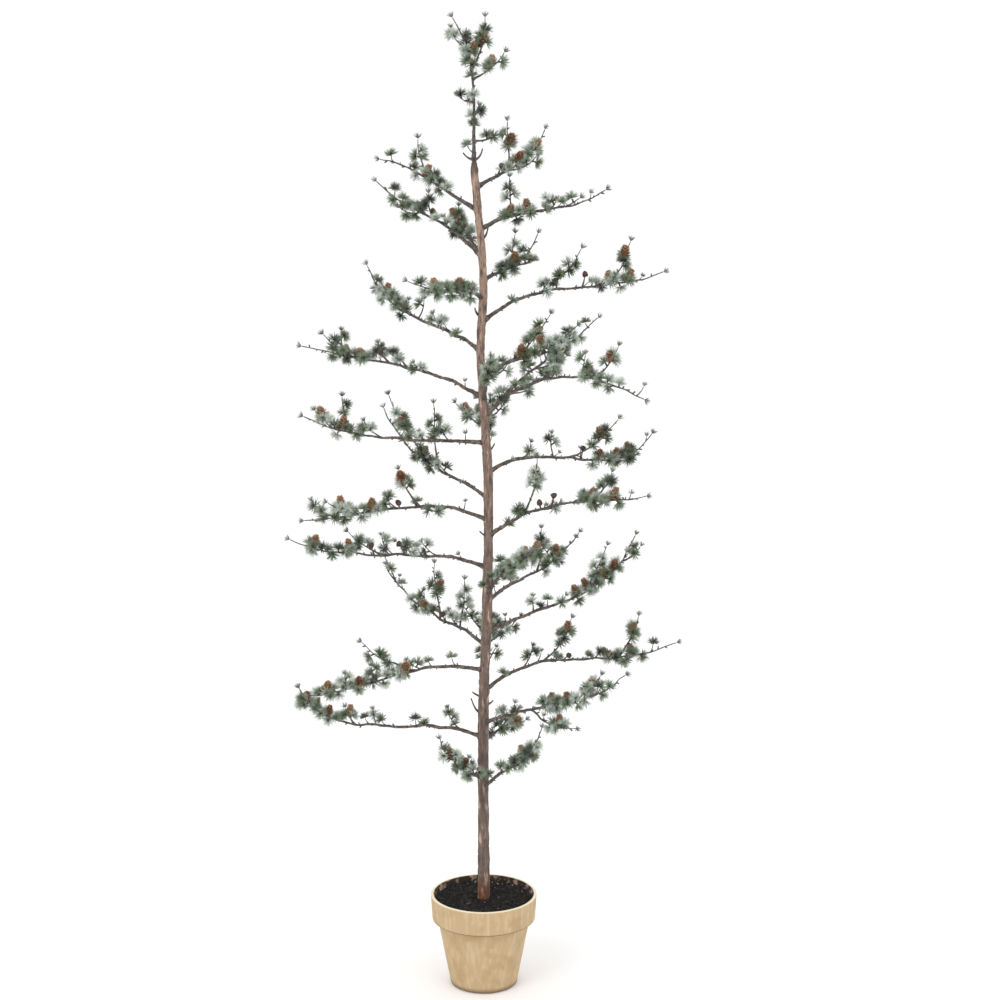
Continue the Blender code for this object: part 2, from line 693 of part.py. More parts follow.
def grow(space, bough, stem, forks, dice):
    """The meshes that grow on a mass's stem: forks, tufts, rosettes, cones and side twigs."""
    name = bough.name
    path = bough_path(bough)
    whole = Stem(path, bough.compass, LIMB_ROOT_RADIUS, LIMB_TIP_RADIUS)
    meshes = [stem_mesh(fork, TWIG_SIDES, STEM_RING_STEP) for fork in forks]
    tufts = tufts_along(whole, bough.leafy, dice)
    cones = cones_along(whole, bough.leafy, bough.cones, dice)
    for fork in forks:
        tufts += tufts_along(fork, FORK_LEAFY, dice)
        if dice.random() < FORK_CONE_CHANCE:
            cones += cones_along(fork, FORK_LEAFY, 1, dice)
    bare = (bough.wood + SIDE_TWIGS_FROM, bough.leafy[0])
    side_twigs = side_twigs_along(whole, *bare, dice)
    grown = []

    def has_room(spot, radius):
        """Whether a new piece crowds none of this mass and claims its space from the others."""
        if any((spot - other).length < CROWDING for other in grown):
            return False
        grown.append(spot)
        return space.claim(name, [spot], radius)

    for twig in [stem] + forks:
        tip = twig.path[-1]
        if has_room(tip, ROSETTE_RADIUS):
            out = direction_at(twig.path, 1)
            meshes.append(star_mesh(tip, out, ROSETTE_RADIUS, None, dice))
    for cone in cones:
        middle = cone.foot + cone.out * cone.length * CONE_MIDDLE
        if has_room(middle, cone.length / 2):
            meshes.append(cone_mesh(cone))
    for twig, is_ball in side_twigs:
        size = BALL_RADIUS if is_ball else TUFT_RADIUS
        if not has_room(twig.end, size):
            continue
        line = [twig.foot, twig.foot.lerp(twig.end, 0.5), twig.end]
        meshes.append(stem_mesh(Stem(line, twig.compass, FORK_RADIUS, TWIG_RADIUS), TWIG_SIDES, 1))
        if is_ball:
            meshes.append(ball_mesh(twig.end))
        else:
            out = (twig.end - twig.foot).normalized()
            meshes.append(star_mesh(twig.end, out, size, twig.foot, dice))
    for tuft in tufts:
        centre = tuft.foot + tuft.out * SPUR_LENGTH
        if has_room(centre, tuft.radius):
            meshes.append(star_mesh(centre, tuft.out, tuft.radius, tuft.foot, dice))
    return meshes


def main():
    """Clear the scene, then build the pot, its fill, the trunk, the boughs and the foliage."""
    for leftover in list(bpy.data.objects):
        bpy.data.objects.remove(leftover, do_unlink=True)
    clay = finish("unglazed_clay", 0.60, 0.46, 0.27, 0.85)
    fill = finish("dark_fill", 0.022, 0.017, 0.013, 0.95)
    bark = finish("larch_bark", 0.24, 0.16, 0.12, 0.80)
    needles = finish("frosted_needles", 0.24, 0.31, 0.25, 0.70)
    build_pot(clay)
    build_soil(fill)
    build_trunk(bark)
    build_boughs(Space(), bark, needles)


if __name__ == "__main__":
    main()
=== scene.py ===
"""An artificial larch, 1.8 m tall, in a filled clay pot: its finished surfaces and its studio.

Everything is in metres, +Z up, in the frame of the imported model. Compass angles are in degrees,
from 0 at +X through 90 at +Y. Limbs, forks, side twigs, tufts and cones stand where the growth
rule puts them, with the same table of boughs and the same seeded draws as the solids. The rule
is carried on here to spurs, twiglets, single needles and single cone scales.
"""

from __future__ import annotations

import logging
import math
import random
from dataclasses import dataclass, field
from enum import Enum
from typing import NamedTuple

import bpy
import numpy as np
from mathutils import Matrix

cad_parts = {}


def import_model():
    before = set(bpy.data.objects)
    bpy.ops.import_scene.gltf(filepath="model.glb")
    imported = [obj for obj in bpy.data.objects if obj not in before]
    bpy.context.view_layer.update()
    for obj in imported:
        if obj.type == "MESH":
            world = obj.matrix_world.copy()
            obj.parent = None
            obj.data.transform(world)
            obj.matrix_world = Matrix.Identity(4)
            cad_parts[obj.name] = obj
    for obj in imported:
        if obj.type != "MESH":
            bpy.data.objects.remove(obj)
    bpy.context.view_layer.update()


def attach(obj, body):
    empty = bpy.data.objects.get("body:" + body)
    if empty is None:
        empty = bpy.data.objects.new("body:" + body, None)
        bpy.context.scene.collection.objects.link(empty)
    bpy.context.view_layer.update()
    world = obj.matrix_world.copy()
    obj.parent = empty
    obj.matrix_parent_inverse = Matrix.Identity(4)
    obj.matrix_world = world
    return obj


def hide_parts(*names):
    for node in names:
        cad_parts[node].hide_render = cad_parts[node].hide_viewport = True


LOG = logging.getLogger("larch")
UP = np.array((0.0, 0.0, 1.0))
GOLDEN_TURN = 137.5
MM = 0.001
KINK = 0.0030
KINK_SPACING = 0.026
KINK_FROM = 0.012
KINK_GROWTH = 0.05


class Slot(Enum):
    """The record's material slots."""

    CLAY = "clay"
    FILL = "fill"
    BARK = "bark"
    FOLIAGE = "foliage"


class Tint(Enum):
    """What a spray of needles looks like: body colour, and the colour of its paler patches."""

    SAGE = ("#7b8a73", "#9aa792")
    MOSS = ("#67755b", "#818e73")
    FROSTED = ("#a7b3a3", "#cdd5ca")
    DEEP = ("#505a4c", "#687263")
    TIP = ("#757970", "#9a9e94")


class Fork(NamedTuple):
    """A side branch: its share along the bough, its swing, and the reach and rise of its tip."""

    share: float
    swing: float
    reach: float
    rise: float


class Bough(NamedTuple):
    """Where a bough leaves the trunk, where its tip is, how steeply it runs, what it carries."""

    name: str
    height: float
    compass: float
    reach: float
    rise: float
    root_climb: float
    tip_climb: float
    wood: float
    leafy: tuple[float, float]
    cones: int
    forks: tuple[Fork, ...]


class Station(NamedTuple):
    """How far the trunk leans at a height, to the right and to the back."""

    height: float
    right: float
    back: float


TRUNK_FOOT = 0.1653
TRUNK_TOP = 1.540
TRUNK_LEAN = (
    Station(TRUNK_FOOT, 0.000, 0.000),
    Station(0.550, 0.000, 0.002),
    Station(0.720, 0.007, 0.003),
    Station(0.970, 0.009, -0.002),
    Station(1.200, -0.004, -0.004),
    Station(1.330, 0.001, 0.000),
    Station(TRUNK_TOP, -0.015, 0.002),
)

BOUGHS = (
    Bough("left_1", 0.402, 232, 0.126, 0.106, 25, 60, 0.00, (0.24, 0.84), 2,
          (Fork(0.30, 52, 0.080, 0.030),)),
    Bough("left_2", 0.479, 172, 0.345, 0.078, 24, 62, 0.52, (0.70, 0.93), 2,
          (Fork(0.62, 25, 0.020, 0.035), Fork(0.80, 35, 0.050, 0.060))),
    Bough("left_3", 0.608, 205, 0.340, -0.005, 20, 0, 0.34, (0.44, 0.97), 3,
          (Fork(0.40, -26, 0.100, 0.050),)),
    Bough("left_4", 0.655, 128, 0.316, 0.107, 18, 58, 0.16, (0.45, 0.66), 1,
          (Fork(0.22, -50, 0.045, 0.080), Fork(0.38, -25, 0.060, 0.090))),
    Bough("left_5", 0.803, 178, 0.360, 0.050, 22, 24, 0.24, (0.66, 0.92), 2,
          (Fork(0.30, 30, 0.060, 0.030), Fork(0.52, -30, 0.080, 0.030))),
    Bough("left_6", 0.891, 200, 0.342, 0.026, 30, 0, 0.30, (0.62, 0.92), 2,
          (Fork(0.40, -55, 0.045, 0.062), Fork(0.70, 20, 0.080, 0.030))),
    Bough("left_7", 0.932, 128, 0.326, 0.120, 18, 52, 0.30, (0.44, 0.64), 1,
          (Fork(0.38, 20, 0.118, 0.130), Fork(0.42, -20, 0.030, 0.115))),
    Bough("left_8", 1.035, 188, 0.328, 0.056, 8, 26, 0.56, (0.66, 0.86), 1,
          (Fork(0.74, -50, 0.020, 0.060), Fork(0.80, 25, 0.050, 0.040))),
    Bough("left_9", 1.118, 168, 0.336, 0.084, 30, 14, 0.30, (0.62, 0.86), 2,
          (Fork(0.38, -25, 0.068, 0.035), Fork(0.68, 20, 0.072, 0.045))),
    Bough("left_10", 1.201, 132, 0.318, 0.125, 26, 58, 0.36, (0.56, 0.90), 1,
          (Fork(0.46, 20, 0.090, 0.070),)),
    Bough("left_11", 1.296, 238, 0.169, 0.030, 26, 5, 0.00, (0.24, 0.95), 3,
          (Fork(0.50, -38, 0.090, 0.020),)),
    Bough("left_12", 1.367, 145, 0.233, 0.123, 44, 36, 0.16, (0.56, 0.82), 1,
          (Fork(0.24, -55, 0.050, 0.045), Fork(0.48, -20, 0.015, 0.045))),
    Bough("left_13", 1.452, 162, 0.182, 0.087, 27, 14, 0.00, (0.28, 0.70), 1,
          (Fork(0.52, -30, 0.028, 0.070),)),
    Bough("right_1", 1.492, 40, 0.158, 0.092, 22, 60, 0.00, (0.36, 0.86), 2,
          (Fork(0.44, 60, 0.022, 0.080),)),
    Bough("right_2", 1.417, 345, 0.227, 0.075, 34, 34, 0.00, (0.18, 0.42), 2,
          (Fork(0.24, 100, 0.020, 0.066), Fork(0.64, 20, 0.034, 0.016))),
    Bough("right_3", 1.328, 60, 0.197, 0.064, 14, 52, 0.00, (0.22, 0.60), 1,
          (Fork(0.45, 10, 0.020, 0.055), Fork(0.50, -50, 0.034, 0.008))),
    Bough("right_4", 1.252, 14, 0.335, 0.081, 42, 20, 0.28, (0.64, 0.86), 2,
          (Fork(0.34, 24, 0.100, 0.070), Fork(0.72, 10, 0.045, 0.075))),
    Bough("right_5", 1.164, 330, 0.192, 0.098, 22, 44, 0.00, (0.34, 0.82), 2,
          (Fork(0.27, 34, 0.070, 0.085),)),
    Bough("right_6", 1.079, 52, 0.345, 0.144, 34, 24, 0.36, (0.62, 0.84), 1,
          (Fork(0.44, -34, 0.060, 0.020),)),
    Bough("right_7", 1.083, 326, 0.332, 0.064, 46, -24, 0.30, (0.62, 0.86), 1,
          (Fork(0.40, 30, 0.034, 0.036), Fork(0.70, 30, 0.045, 0.055))),
    Bough("right_8", 0.979, 28, 0.345, 0.041, 32, 50, 0.34, (0.58, 0.86), 3,
          (Fork(0.46, -24, 0.090, 0.072),)),
    Bough("right_9", 0.862, 318, 0.364, 0.126, 38, 14, 0.20, (0.64, 0.86), 2,
          (Fork(0.26, 70, 0.022, 0.100), Fork(0.70, 25, 0.036, 0.055))),
    Bough("right_10", 0.739, 55, 0.302, 0.073, 18, 36, 0.44, (0.56, 0.80), 1,
          (Fork(0.52, 20, 0.035, 0.070),)),
    Bough("right_11", 0.679, 40, 0.372, 0.128, 16, 60, 0.40, (0.50, 0.84), 4,
          (Fork(0.56, 8, 0.072, 0.080),)),
    Bough("right_12", 0.565, 12, 0.365, 0.075, 46, 24, 0.26, (0.66, 0.84), 2,
          (Fork(0.34, 28, 0.070, 0.070), Fork(0.72, 20, 0.045, 0.070))),
    Bough("right_13", 0.506, 312, 0.369, 0.174, 30, 40, 0.28, (0.40, 0.74), 2,
          (Fork(0.34, -10, 0.140, 0.000), Fork(0.62, 40, 0.050, 0.050))),
    Bough("right_14", 0.472, 65, 0.135, 0.032, 5, 50, 0.00, (0.34, 0.84), 0,
          (Fork(0.44, -50, 0.050, 0.014),)),
    Bough("right_15", 0.380, 302, 0.198, 0.173, 44, 66, 0.00, (0.38, 0.84), 1,
          (Fork(0.48, 40, 0.040, 0.040),)),
    Bough("front_1", 0.750, 288, 0.254, 0.141, 42, 26, 0.00, (0.42, 0.90), 3,
          (Fork(0.50, 30, 0.090, 0.060),)),
    Bough("front_2", 1.111, 278, 0.100, 0.095, 50, 50, 0.00, (0.44, 0.96), 1,
          (Fork(0.50, 45, 0.045, 0.035),)),
    Bough("back_1", 1.367, 104, 0.170, 0.055, 20, 25, 0.34, (0.48, 0.90), 1,
          (Fork(0.50, 34, 0.060, 0.020),)),
    Bough("back_2", 1.010, 92, 0.300, 0.060, 20, 20, 0.36, (0.54, 0.84), 2,
          (Fork(0.60, -36, 0.090, 0.040), Fork(0.50, 40, 0.080, 0.030))),
    Bough("back_3", 0.585, 88, 0.330, 0.070, 22, 20, 0.36, (0.54, 0.84), 2,
          (Fork(0.58, 36, 0.100, 0.050), Fork(0.46, -40, 0.090, 0.030))),
    Bough("top", TRUNK_TOP, 180, 0.037, 0.245, 88, 58, 0.00, (0.62, 0.86), 1,
          (Fork(0.12, 180, 0.045, 0.012), Fork(0.30, 120, 0.016, 0.014),
           Fork(0.55, 172, 0.055, 0.045), Fork(0.62, 190, 0.024, 0.088))),
)
LIMB_NODES = ["bough_" + bough.name for bough in BOUGHS if bough.wood]
MASS_NODES = ["foliage_" + bough.name for bough in BOUGHS]


def heading(compass: float) -> np.ndarray:
    """Give the level unit direction of a compass angle."""
    turn = math.radians(compass)
    return np.array((math.cos(turn), math.sin(turn), 0.0))


def sloping(compass: float, climb: float) -> np.ndarray:
    """Give the unit direction of a compass angle and a climb, both in degrees."""
    slope = math.radians(climb)
    return heading(compass) * math.cos(slope) + UP * math.sin(slope)


def spokes_of(count: int) -> np.ndarray:
    """Give level unit directions evenly round a circle, anticlockwise from +X."""
    angles = np.arange(count) * 2 * math.pi / count
    return np.stack((np.cos(angles), np.sin(angles), np.zeros(count)), 1)


def level_points(angles: np.ndarray, radii: np.ndarray) -> np.ndarray:
    """Give the x and y of points at these angles and radii."""
    return np.stack((np.cos(angles) * radii, np.sin(angles) * radii), 1)


def between(low: float, high: float, share: float) -> float:
    """Give the value at this share of the way from low to high."""
    return low + (high - low) * share


def unit(vectors: np.ndarray) -> np.ndarray:
    """Scale each vector to a length of 1."""
    return vectors / np.linalg.norm(vectors, axis=-1, keepdims=True)


def lumps(points: np.ndarray, size: float, seed: int) -> np.ndarray:
    """Give smooth lumpy heights from -1 to 1.

    Random heights stand on the corners of a cubic lattice. Each point takes the mean of the
    eight corners of its cell, weighted by an eased distance to each.

    Args:
        points: Places to read, one to a row.
        size: The lattice's cell, in the points' own unit.
        seed: Picks one pattern out of many.

    Returns:
        One height for each point.
    """
    spots = points / size
    cell = np.floor(spots).astype(np.int64)
    part = spots - cell
    part = part * part * (3 - 2 * part)
    total = np.zeros(points.shape[:-1])
    for corner in np.ndindex(2, 2, 2):
        key = (cell + corner) @ np.array((73856093, 19349663, 83492791)) + seed * 7919
        key = (key ^ (key >> 13)) * 1274126177 & 0x7FFFFFFF
        key = (key ^ (key >> 15)) * 668265263 & 0x7FFFFFFF
        weight = np.prod(np.where(corner, part, 1 - part), axis=-1)
        total += (key / 0x3FFFFFFF - 1) * weight
    return total


def sway(points: np.ndarray) -> np.ndarray:
    """Give the small kinks of wired twigs: how far each point strays from the even curve.

    The stray is smooth noise in x, y and z, of the same value for everything at one place, so
    that a fork stays on its stem. It grows from nothing at the trunk.

    Args:
        points: Places on the centrelines, one to a row.

    Returns:
        One step for each point.
    """
    far = np.hypot(points[:, 0], points[:, 1])
    size = KINK * np.clip((far - KINK_FROM) / KINK_GROWTH, 0, 1)
    step = np.stack([lumps(points, KINK_SPACING, seed) for seed in (41, 42, 43)], axis=1)
    return step * size[:, None]


@dataclass(frozen=True)
class Path:
    """A smooth centreline: evenly stepped points in one upright plane."""

    points: np.ndarray
    compass: float

    def at(self, shares: float | np.ndarray) -> np.ndarray:
        """Give the points at these shares of the path's steps."""
        where = np.clip(np.asarray(shares, dtype=float), 0, 1) * (len(self.points) - 1)
        low = np.minimum(where.astype(int), len(self.points) - 2)
        part = (where - low)[..., None]
        return self.points[low] * (1 - part) + self.points[low + 1] * part

    def direction(self, shares: float | np.ndarray) -> np.ndarray:
        """Give the unit directions in which the path runs at these shares."""
        step = 0.5 / (len(self.points) - 1)
        return unit(self.at(np.asarray(shares) + step) - self.at(np.asarray(shares) - step))

    @property
    def length(self) -> float:
        """The path's length."""
        return float(np.linalg.norm(np.diff(self.points, axis=0), axis=1).sum())


@dataclass(frozen=True)
class Stem:
    """A round stem along a stretch of a path, tapering between two radii."""

    path: Path
    first: float
    last: float
    first_radius: float
    last_radius: float


@dataclass(frozen=True)
class Sprout:
    """Something that grows out of a stem: a tuft, a rosette, a cone or a spur."""

    foot: np.ndarray
    out: np.ndarray
    size: float


def gathered(sprouts: list[Sprout]) -> tuple[np.ndarray, np.ndarray, np.ndarray]:
    """Give all the sprouts' feet, kinked with their stems, their directions and their sizes."""
    feet = np.array([sprout.foot for sprout in sprouts])
    outs = np.array([sprout.out for sprout in sprouts])
    sizes = np.array([sprout.size for sprout in sprouts])
    return feet + sway(feet), outs, sizes


@dataclass(frozen=True)
class Shape:
    """Points and triangles of a mesh, with the material number of each triangle."""

    points: np.ndarray
    triangles: np.ndarray
    finish: np.ndarray


def skin(rows: np.ndarray, foot: np.ndarray | None = None, tip: np.ndarray | None = None) -> Shape:
    """Close a tube over rows of points that run round it, anticlockwise seen from its end.

    Each cell of the grid is cut into two triangles, and a fan closes each end.

    Args:
        rows: Points on a grid, as an array of rows by columns by 3.
        foot: Centre of the fan at the start, or the first row's mean.
        tip: Centre of the fan at the end, or the last row's mean.

    Returns:
        The closed shape, with its faces pointing out.
    """
    count, around, _ = rows.shape
    foot = rows[0].mean(axis=0) if foot is None else foot
    tip = rows[-1].mean(axis=0) if tip is None else tip
    low, side = np.meshgrid(np.arange(count - 1), np.arange(around), indexing="ij")
    a = (low * around + side).ravel()
    b = (low * around + (side + 1) % around).ravel()
    walls = np.concatenate((np.stack((a, b, b + around), 1), np.stack((a, b + around, a + around), 1)))
    ring = np.arange(around)
    after = (ring + 1) % around
    centre = count * around
    start = np.stack((np.full(around, centre), after, ring), 1)
    top = (count - 1) * around
    end = np.stack((np.full(around, centre + 1), top + ring, top + after), 1)
    triangles = np.concatenate((walls, start, end))
    points = np.concatenate((rows.reshape(-1, 3), (foot, tip)))
    return Shape(points, triangles, np.zeros(len(triangles), dtype=np.int32))


def joined(shapes: list[Shape]) -> Shape:
    """Put several shapes into one."""
    starts = np.cumsum([0] + [len(shape.points) for shape in shapes[:-1]])
    triangles = [shape.triangles + start for shape, start in zip(shapes, starts)]
    return Shape(
        np.concatenate([shape.points for shape in shapes]),
        np.concatenate(triangles),
        np.concatenate([shape.finish for shape in shapes]),
    )


def strewn(shape: Shape, places: np.ndarray, axes: np.ndarray) -> Shape:
    """Copy a shape to many places: each point becomes place + x * X + y * Y + z * Z.

    Args:
        shape: The shape to repeat.
        places: Where each copy's origin goes, as an array of copies by 3.
        axes: Each copy's X, Y and Z, with their scale, as an array of copies by 3 by 3.

    Returns:
        All the copies as one shape.
    """
    points = places[:, None, :] + np.einsum("mk,nkj->nmj", shape.points, axes)
    starts = np.arange(len(places)) * len(shape.points)
    triangles = shape.triangles[None] + starts[:, None, None]
    return Shape(points.reshape(-1, 3), triangles.reshape(-1, 3), np.tile(shape.finish, len(places)))


def axes_along(directions: np.ndarray, turns: np.ndarray) -> np.ndarray:
    """Give right-handed unit axes whose Z runs along each direction, turned about it.

    X and Y start from the level direction square to Z and are then turned by each angle.

    Args:
        directions: Unit directions, one to a row.
        turns: Angles in radians.

    Returns:
        An array of directions by 3 axes by 3.
    """
    helper = np.where(np.abs(directions[:, 2:]) > 0.95, np.array((1.0, 0, 0)), UP)
    side = unit(np.cross(helper, directions))
    front = np.cross(directions, side)
    cos, sin = np.cos(turns)[:, None], np.sin(turns)[:, None]
    return np.stack((side * cos + front * sin, front * cos - side * sin, directions), axis=1)


def tube(path: Path, shares: np.ndarray, radii: np.ndarray) -> np.ndarray:
    """Carry rings along a path, each square to it.

    A ring's point is centre + radius * (across * cos + lift * sin), where across is level and
    square to the path's plane and lift is square to both.

    Args:
        path: The centreline.
        shares: Where the rings stand along it.
        radii: Radii, as an array of rings by sides.

    Returns:
        The rows of ring points.
    """
    across = heading(path.compass + 90)
    lift = unit(np.cross(path.direction(shares), across))
    angles = np.arange(radii.shape[1]) * 2 * math.pi / radii.shape[1]
    spokes = across * np.cos(angles)[:, None] + lift[:, None] * np.sin(angles)[:, None]
    return path.at(shares)[:, None] + spokes * radii[..., None]


@dataclass
class Piece:
    """A finished mesh object that rides on the part."""

    name: str
    shape: Shape
    materials: list[bpy.types.Material]
    slot: Slot
    replaces: list[str] = field(default_factory=list)

    def build(self) -> bpy.types.Object:
        """Make the mesh object, give it its materials and hand it to the frame.

        Returns:
            The new object.
        """
        mesh = bpy.data.meshes.new(self.name)
        triangles = self.shape.triangles
        mesh.vertices.add(len(self.shape.points))
        mesh.vertices.foreach_set("co", self.shape.points.astype(np.float32).ravel())
        mesh.loops.add(triangles.size)
        mesh.loops.foreach_set("vertex_index", triangles.astype(np.int32).ravel())
        mesh.polygons.add(len(triangles))
        mesh.polygons.foreach_set("loop_start", np.arange(0, triangles.size, 3, dtype=np.int32))
        for material in self.materials:
            mesh.materials.append(material)
        mesh.polygons.foreach_set("material_index", self.shape.finish.astype(np.int32))
        mesh.update(calc_edges=True)
        mesh.shade_smooth()
        piece = bpy.data.objects.new(self.name, mesh)
        bpy.context.scene.collection.objects.link(piece)
        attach(piece, "root")
        if self.replaces:
            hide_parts(*self.replaces)
        LOG.info("%s: %d triangles", self.name, len(triangles))
        return piece


def linear(colour: str) -> tuple[float, float, float, float]:
    """Turn an sRGB hex colour into linear red, green, blue and alpha."""
    parts = [int(colour[i:i + 2], 16) / 255 for i in (1, 3, 5)]
    light = [p / 12.92 if p <= 0.04045 else ((p + 0.055) / 1.055) ** 2.4 for p in parts]
    return (light[0], light[1], light[2], 1.0)


def per_metre(millimetres: float) -> float:
    """Give the scale of a pattern whose features are this many millimetres across."""
    return 1000 / millimetres


def add_node(
    tree: bpy.types.NodeTree, kind: str, inputs: dict | None = None, **settings: object
) -> bpy.types.Node:
    """Add one node with its settings, values and links.

    Args:
        tree: The material's node tree.
        kind: The node's type name.
        inputs: Values by socket name or number; a pair of node and output name is linked.
        settings: The node's own properties.

    Returns:
        The new node.
    """
    node = tree.nodes.new(kind)
    for name, value in settings.items():
        setattr(node, name, value)
    for socket, value in (inputs or {}).items():
        if isinstance(value, tuple) and isinstance(value[0], bpy.types.Node):
            tree.links.new(value[0].outputs[value[1]], node.inputs[socket])
        else:
            node.inputs[socket].default_value = value
    return node


@dataclass(frozen=True)
class Finish:
    """A Principled material whose colour and relief come from patterns in real millimetres."""

    name: str
    roughness: float
    relief: float = 0.0
    grain: float = 2.0

    def start(self) -> tuple[bpy.types.Material, bpy.types.NodeTree, bpy.types.Node]:
        """Make the empty material.

        Returns:
            The material, its node tree and the node that gives Object coordinates.
        """
        material = bpy.data.materials.new(self.name)
        material.use_nodes = True
        tree = material.node_tree
        tree.nodes.clear()
        return material, tree, add_node(tree, "ShaderNodeTexCoord")

    def noise(self, tree: bpy.types.NodeTree, place: tuple, size: float, detail: float) -> tuple:
        """Add a noise pattern with features of this size in millimetres.

        Args:
            tree: The material's node tree.
            place: Node and output that give the coordinates.
            size: The features' size in millimetres.
            detail: How many finer layers it has.

        Returns:
            The node and its output.
        """
        pattern = add_node(tree, "ShaderNodeTexNoise", {
            "Vector": place, "Scale": per_metre(size), "Detail": detail})
        return pattern, "Fac"

    def end(self, tree: bpy.types.NodeTree, place: tuple, colour: tuple) -> None:
        """Add the grain's bump, the shader and the output.

        Args:
            tree: The material's node tree.
            place: Node and output that give the coordinates.
            colour: Node and output that give the base colour.
        """
        grain = self.noise(tree, place, self.grain, 4.0)
        bump = add_node(tree, "ShaderNodeBump", {
            "Height": grain, "Strength": 0.6, "Distance": self.relief * MM})
        shader = add_node(tree, "ShaderNodeBsdfPrincipled", {
            "Base Color": colour, "Roughness": self.roughness, "Normal": (bump, "Normal")})
        add_node(tree, "ShaderNodeOutputMaterial", {"Surface": (shader, "BSDF")})

    def blended(self, tree: bpy.types.NodeTree, share: tuple, low: object, high: object) -> tuple:
        """Mix two colours.

        Args:
            tree: The material's node tree.
            share: Node and output that give the share of the second colour.
            low: A hex colour, or the node and output of one.
            high: A hex colour, or the node and output of one.

        Returns:
            The mixing node and its colour output.
        """
        inks = [linear(ink) if isinstance(ink, str) else ink for ink in (low, high)]
        mix = add_node(tree, "ShaderNodeMix", {0: share, 6: inks[0], 7: inks[1]}, data_type="RGBA")
        return mix, 2

    def stretch(self, tree: bpy.types.NodeTree, value: tuple, low: float, high: float) -> tuple:
        """Spread the values between low and high over 0 to 1.

        Args:
            tree: The material's node tree.
            value: Node and output to read.
            low: The value that becomes 0.
            high: The value that becomes 1.

        Returns:
            The node and its output.
        """
        ranged = add_node(tree, "ShaderNodeMapRange", {
            "Value": value, "From Min": low, "From Max": high}, interpolation_type="SMOOTHSTEP")
        return ranged, "Result"


@dataclass(frozen=True)
class FiredClay(Finish):
    """Unglazed buff earthenware, thrown and fired: matt, with lime bloom and damp marks."""

    body: str = "#b9a07c"
    bloom: str = "#c5ad8a"
    damp: str = "#b1966f"
    # shade: painted shade, for the line under the band and for the darker foot.
    shade: str = "#7d6546"
    # rim: a painted highlight along the top of the lip.
    rim: str = "#e6dac0"
    streak: float = 7.0
    streak_slope: float = 0.12
    blotch: float = 30.0
    pale_from: tuple[float, float] = (0.42, 0.70)
    damp_from: tuple[float, float] = (0.45, 0.72)
    band_foot: float = 0.127
    band_shade_width: tuple[float, float] = (0.0035, 0.0005)
    foot_shade_height: float = 0.012
    rim_height: float = 0.1745
    rim_highlight_depth: float = 0.0008

    def material(self) -> bpy.types.Material:
        """Make the clay: a buff body, upright streaks, broad blotches, a painted shade line under the
        band.

        The rim's top edge is paler, a painted highlight, and the foot is darker, painted shade.

        Returns:
            The material.
        """
        material, tree, coords = self.start()
        place = (coords, "Object")
        upright = add_node(tree, "ShaderNodeMapping", {
            "Vector": place, "Scale": (1, 1, self.streak_slope)})
        streaks = self.noise(tree, (upright, "Vector"), self.streak, 3.0)
        blotches = self.noise(tree, place, self.blotch, 5.0)
        pale = self.stretch(tree, streaks, *self.pale_from)
        dark = self.stretch(tree, blotches, *self.damp_from)
        colour = self.blended(tree, pale, self.body, self.bloom)
        colour = self.blended(tree, dark, colour, self.damp)
        height = add_node(tree, "ShaderNodeSeparateXYZ", {"Vector": place})
        below = add_node(tree, "ShaderNodeMath", {
            0: (height, "Z"), 1: self.band_foot}, operation="SUBTRACT")
        near = add_node(tree, "ShaderNodeMath", {0: (below, "Value")}, operation="ABSOLUTE")
        # Painted shade: a dark line where the band overhangs the body.
        line = self.stretch(tree, (near, "Value"), *self.band_shade_width)
        # Painted shade: the body darkens towards the floor.
        foot = self.stretch(tree, (height, "Z"), self.foot_shade_height, 0.0)
        # Painted highlight: a pale edge along the top of the rim.
        lit_rim = self.stretch(tree, (height, "Z"), self.rim_height - self.rim_highlight_depth, self.rim_height)
        colour = self.blended(tree, line, colour, self.shade)
        colour = self.blended(tree, foot, colour, self.shade)
        colour = self.blended(tree, lit_rim, colour, self.rim)
        self.end(tree, place, colour)
        return material


@dataclass(frozen=True)
class Speckled(Finish):
    """A rough surface of two colours in patches, such as potting fill or dusted twigs."""

    low: str = "#0c0a09"
    high: str = "#261f1a"
    patch: float = 3.0
    floor: float = 0.45
    ceiling: float = 0.75

    def material(self) -> bpy.types.Material:
        """Make the patches of the second colour on the first."""
        material, tree, coords = self.start()
        place = (coords, "Object")
        patches = self.noise(tree, place, self.patch, 4.0)
        share = self.stretch(tree, patches, self.floor, self.ceiling)
        self.end(tree, place, self.blended(tree, share, self.low, self.high))
        return material


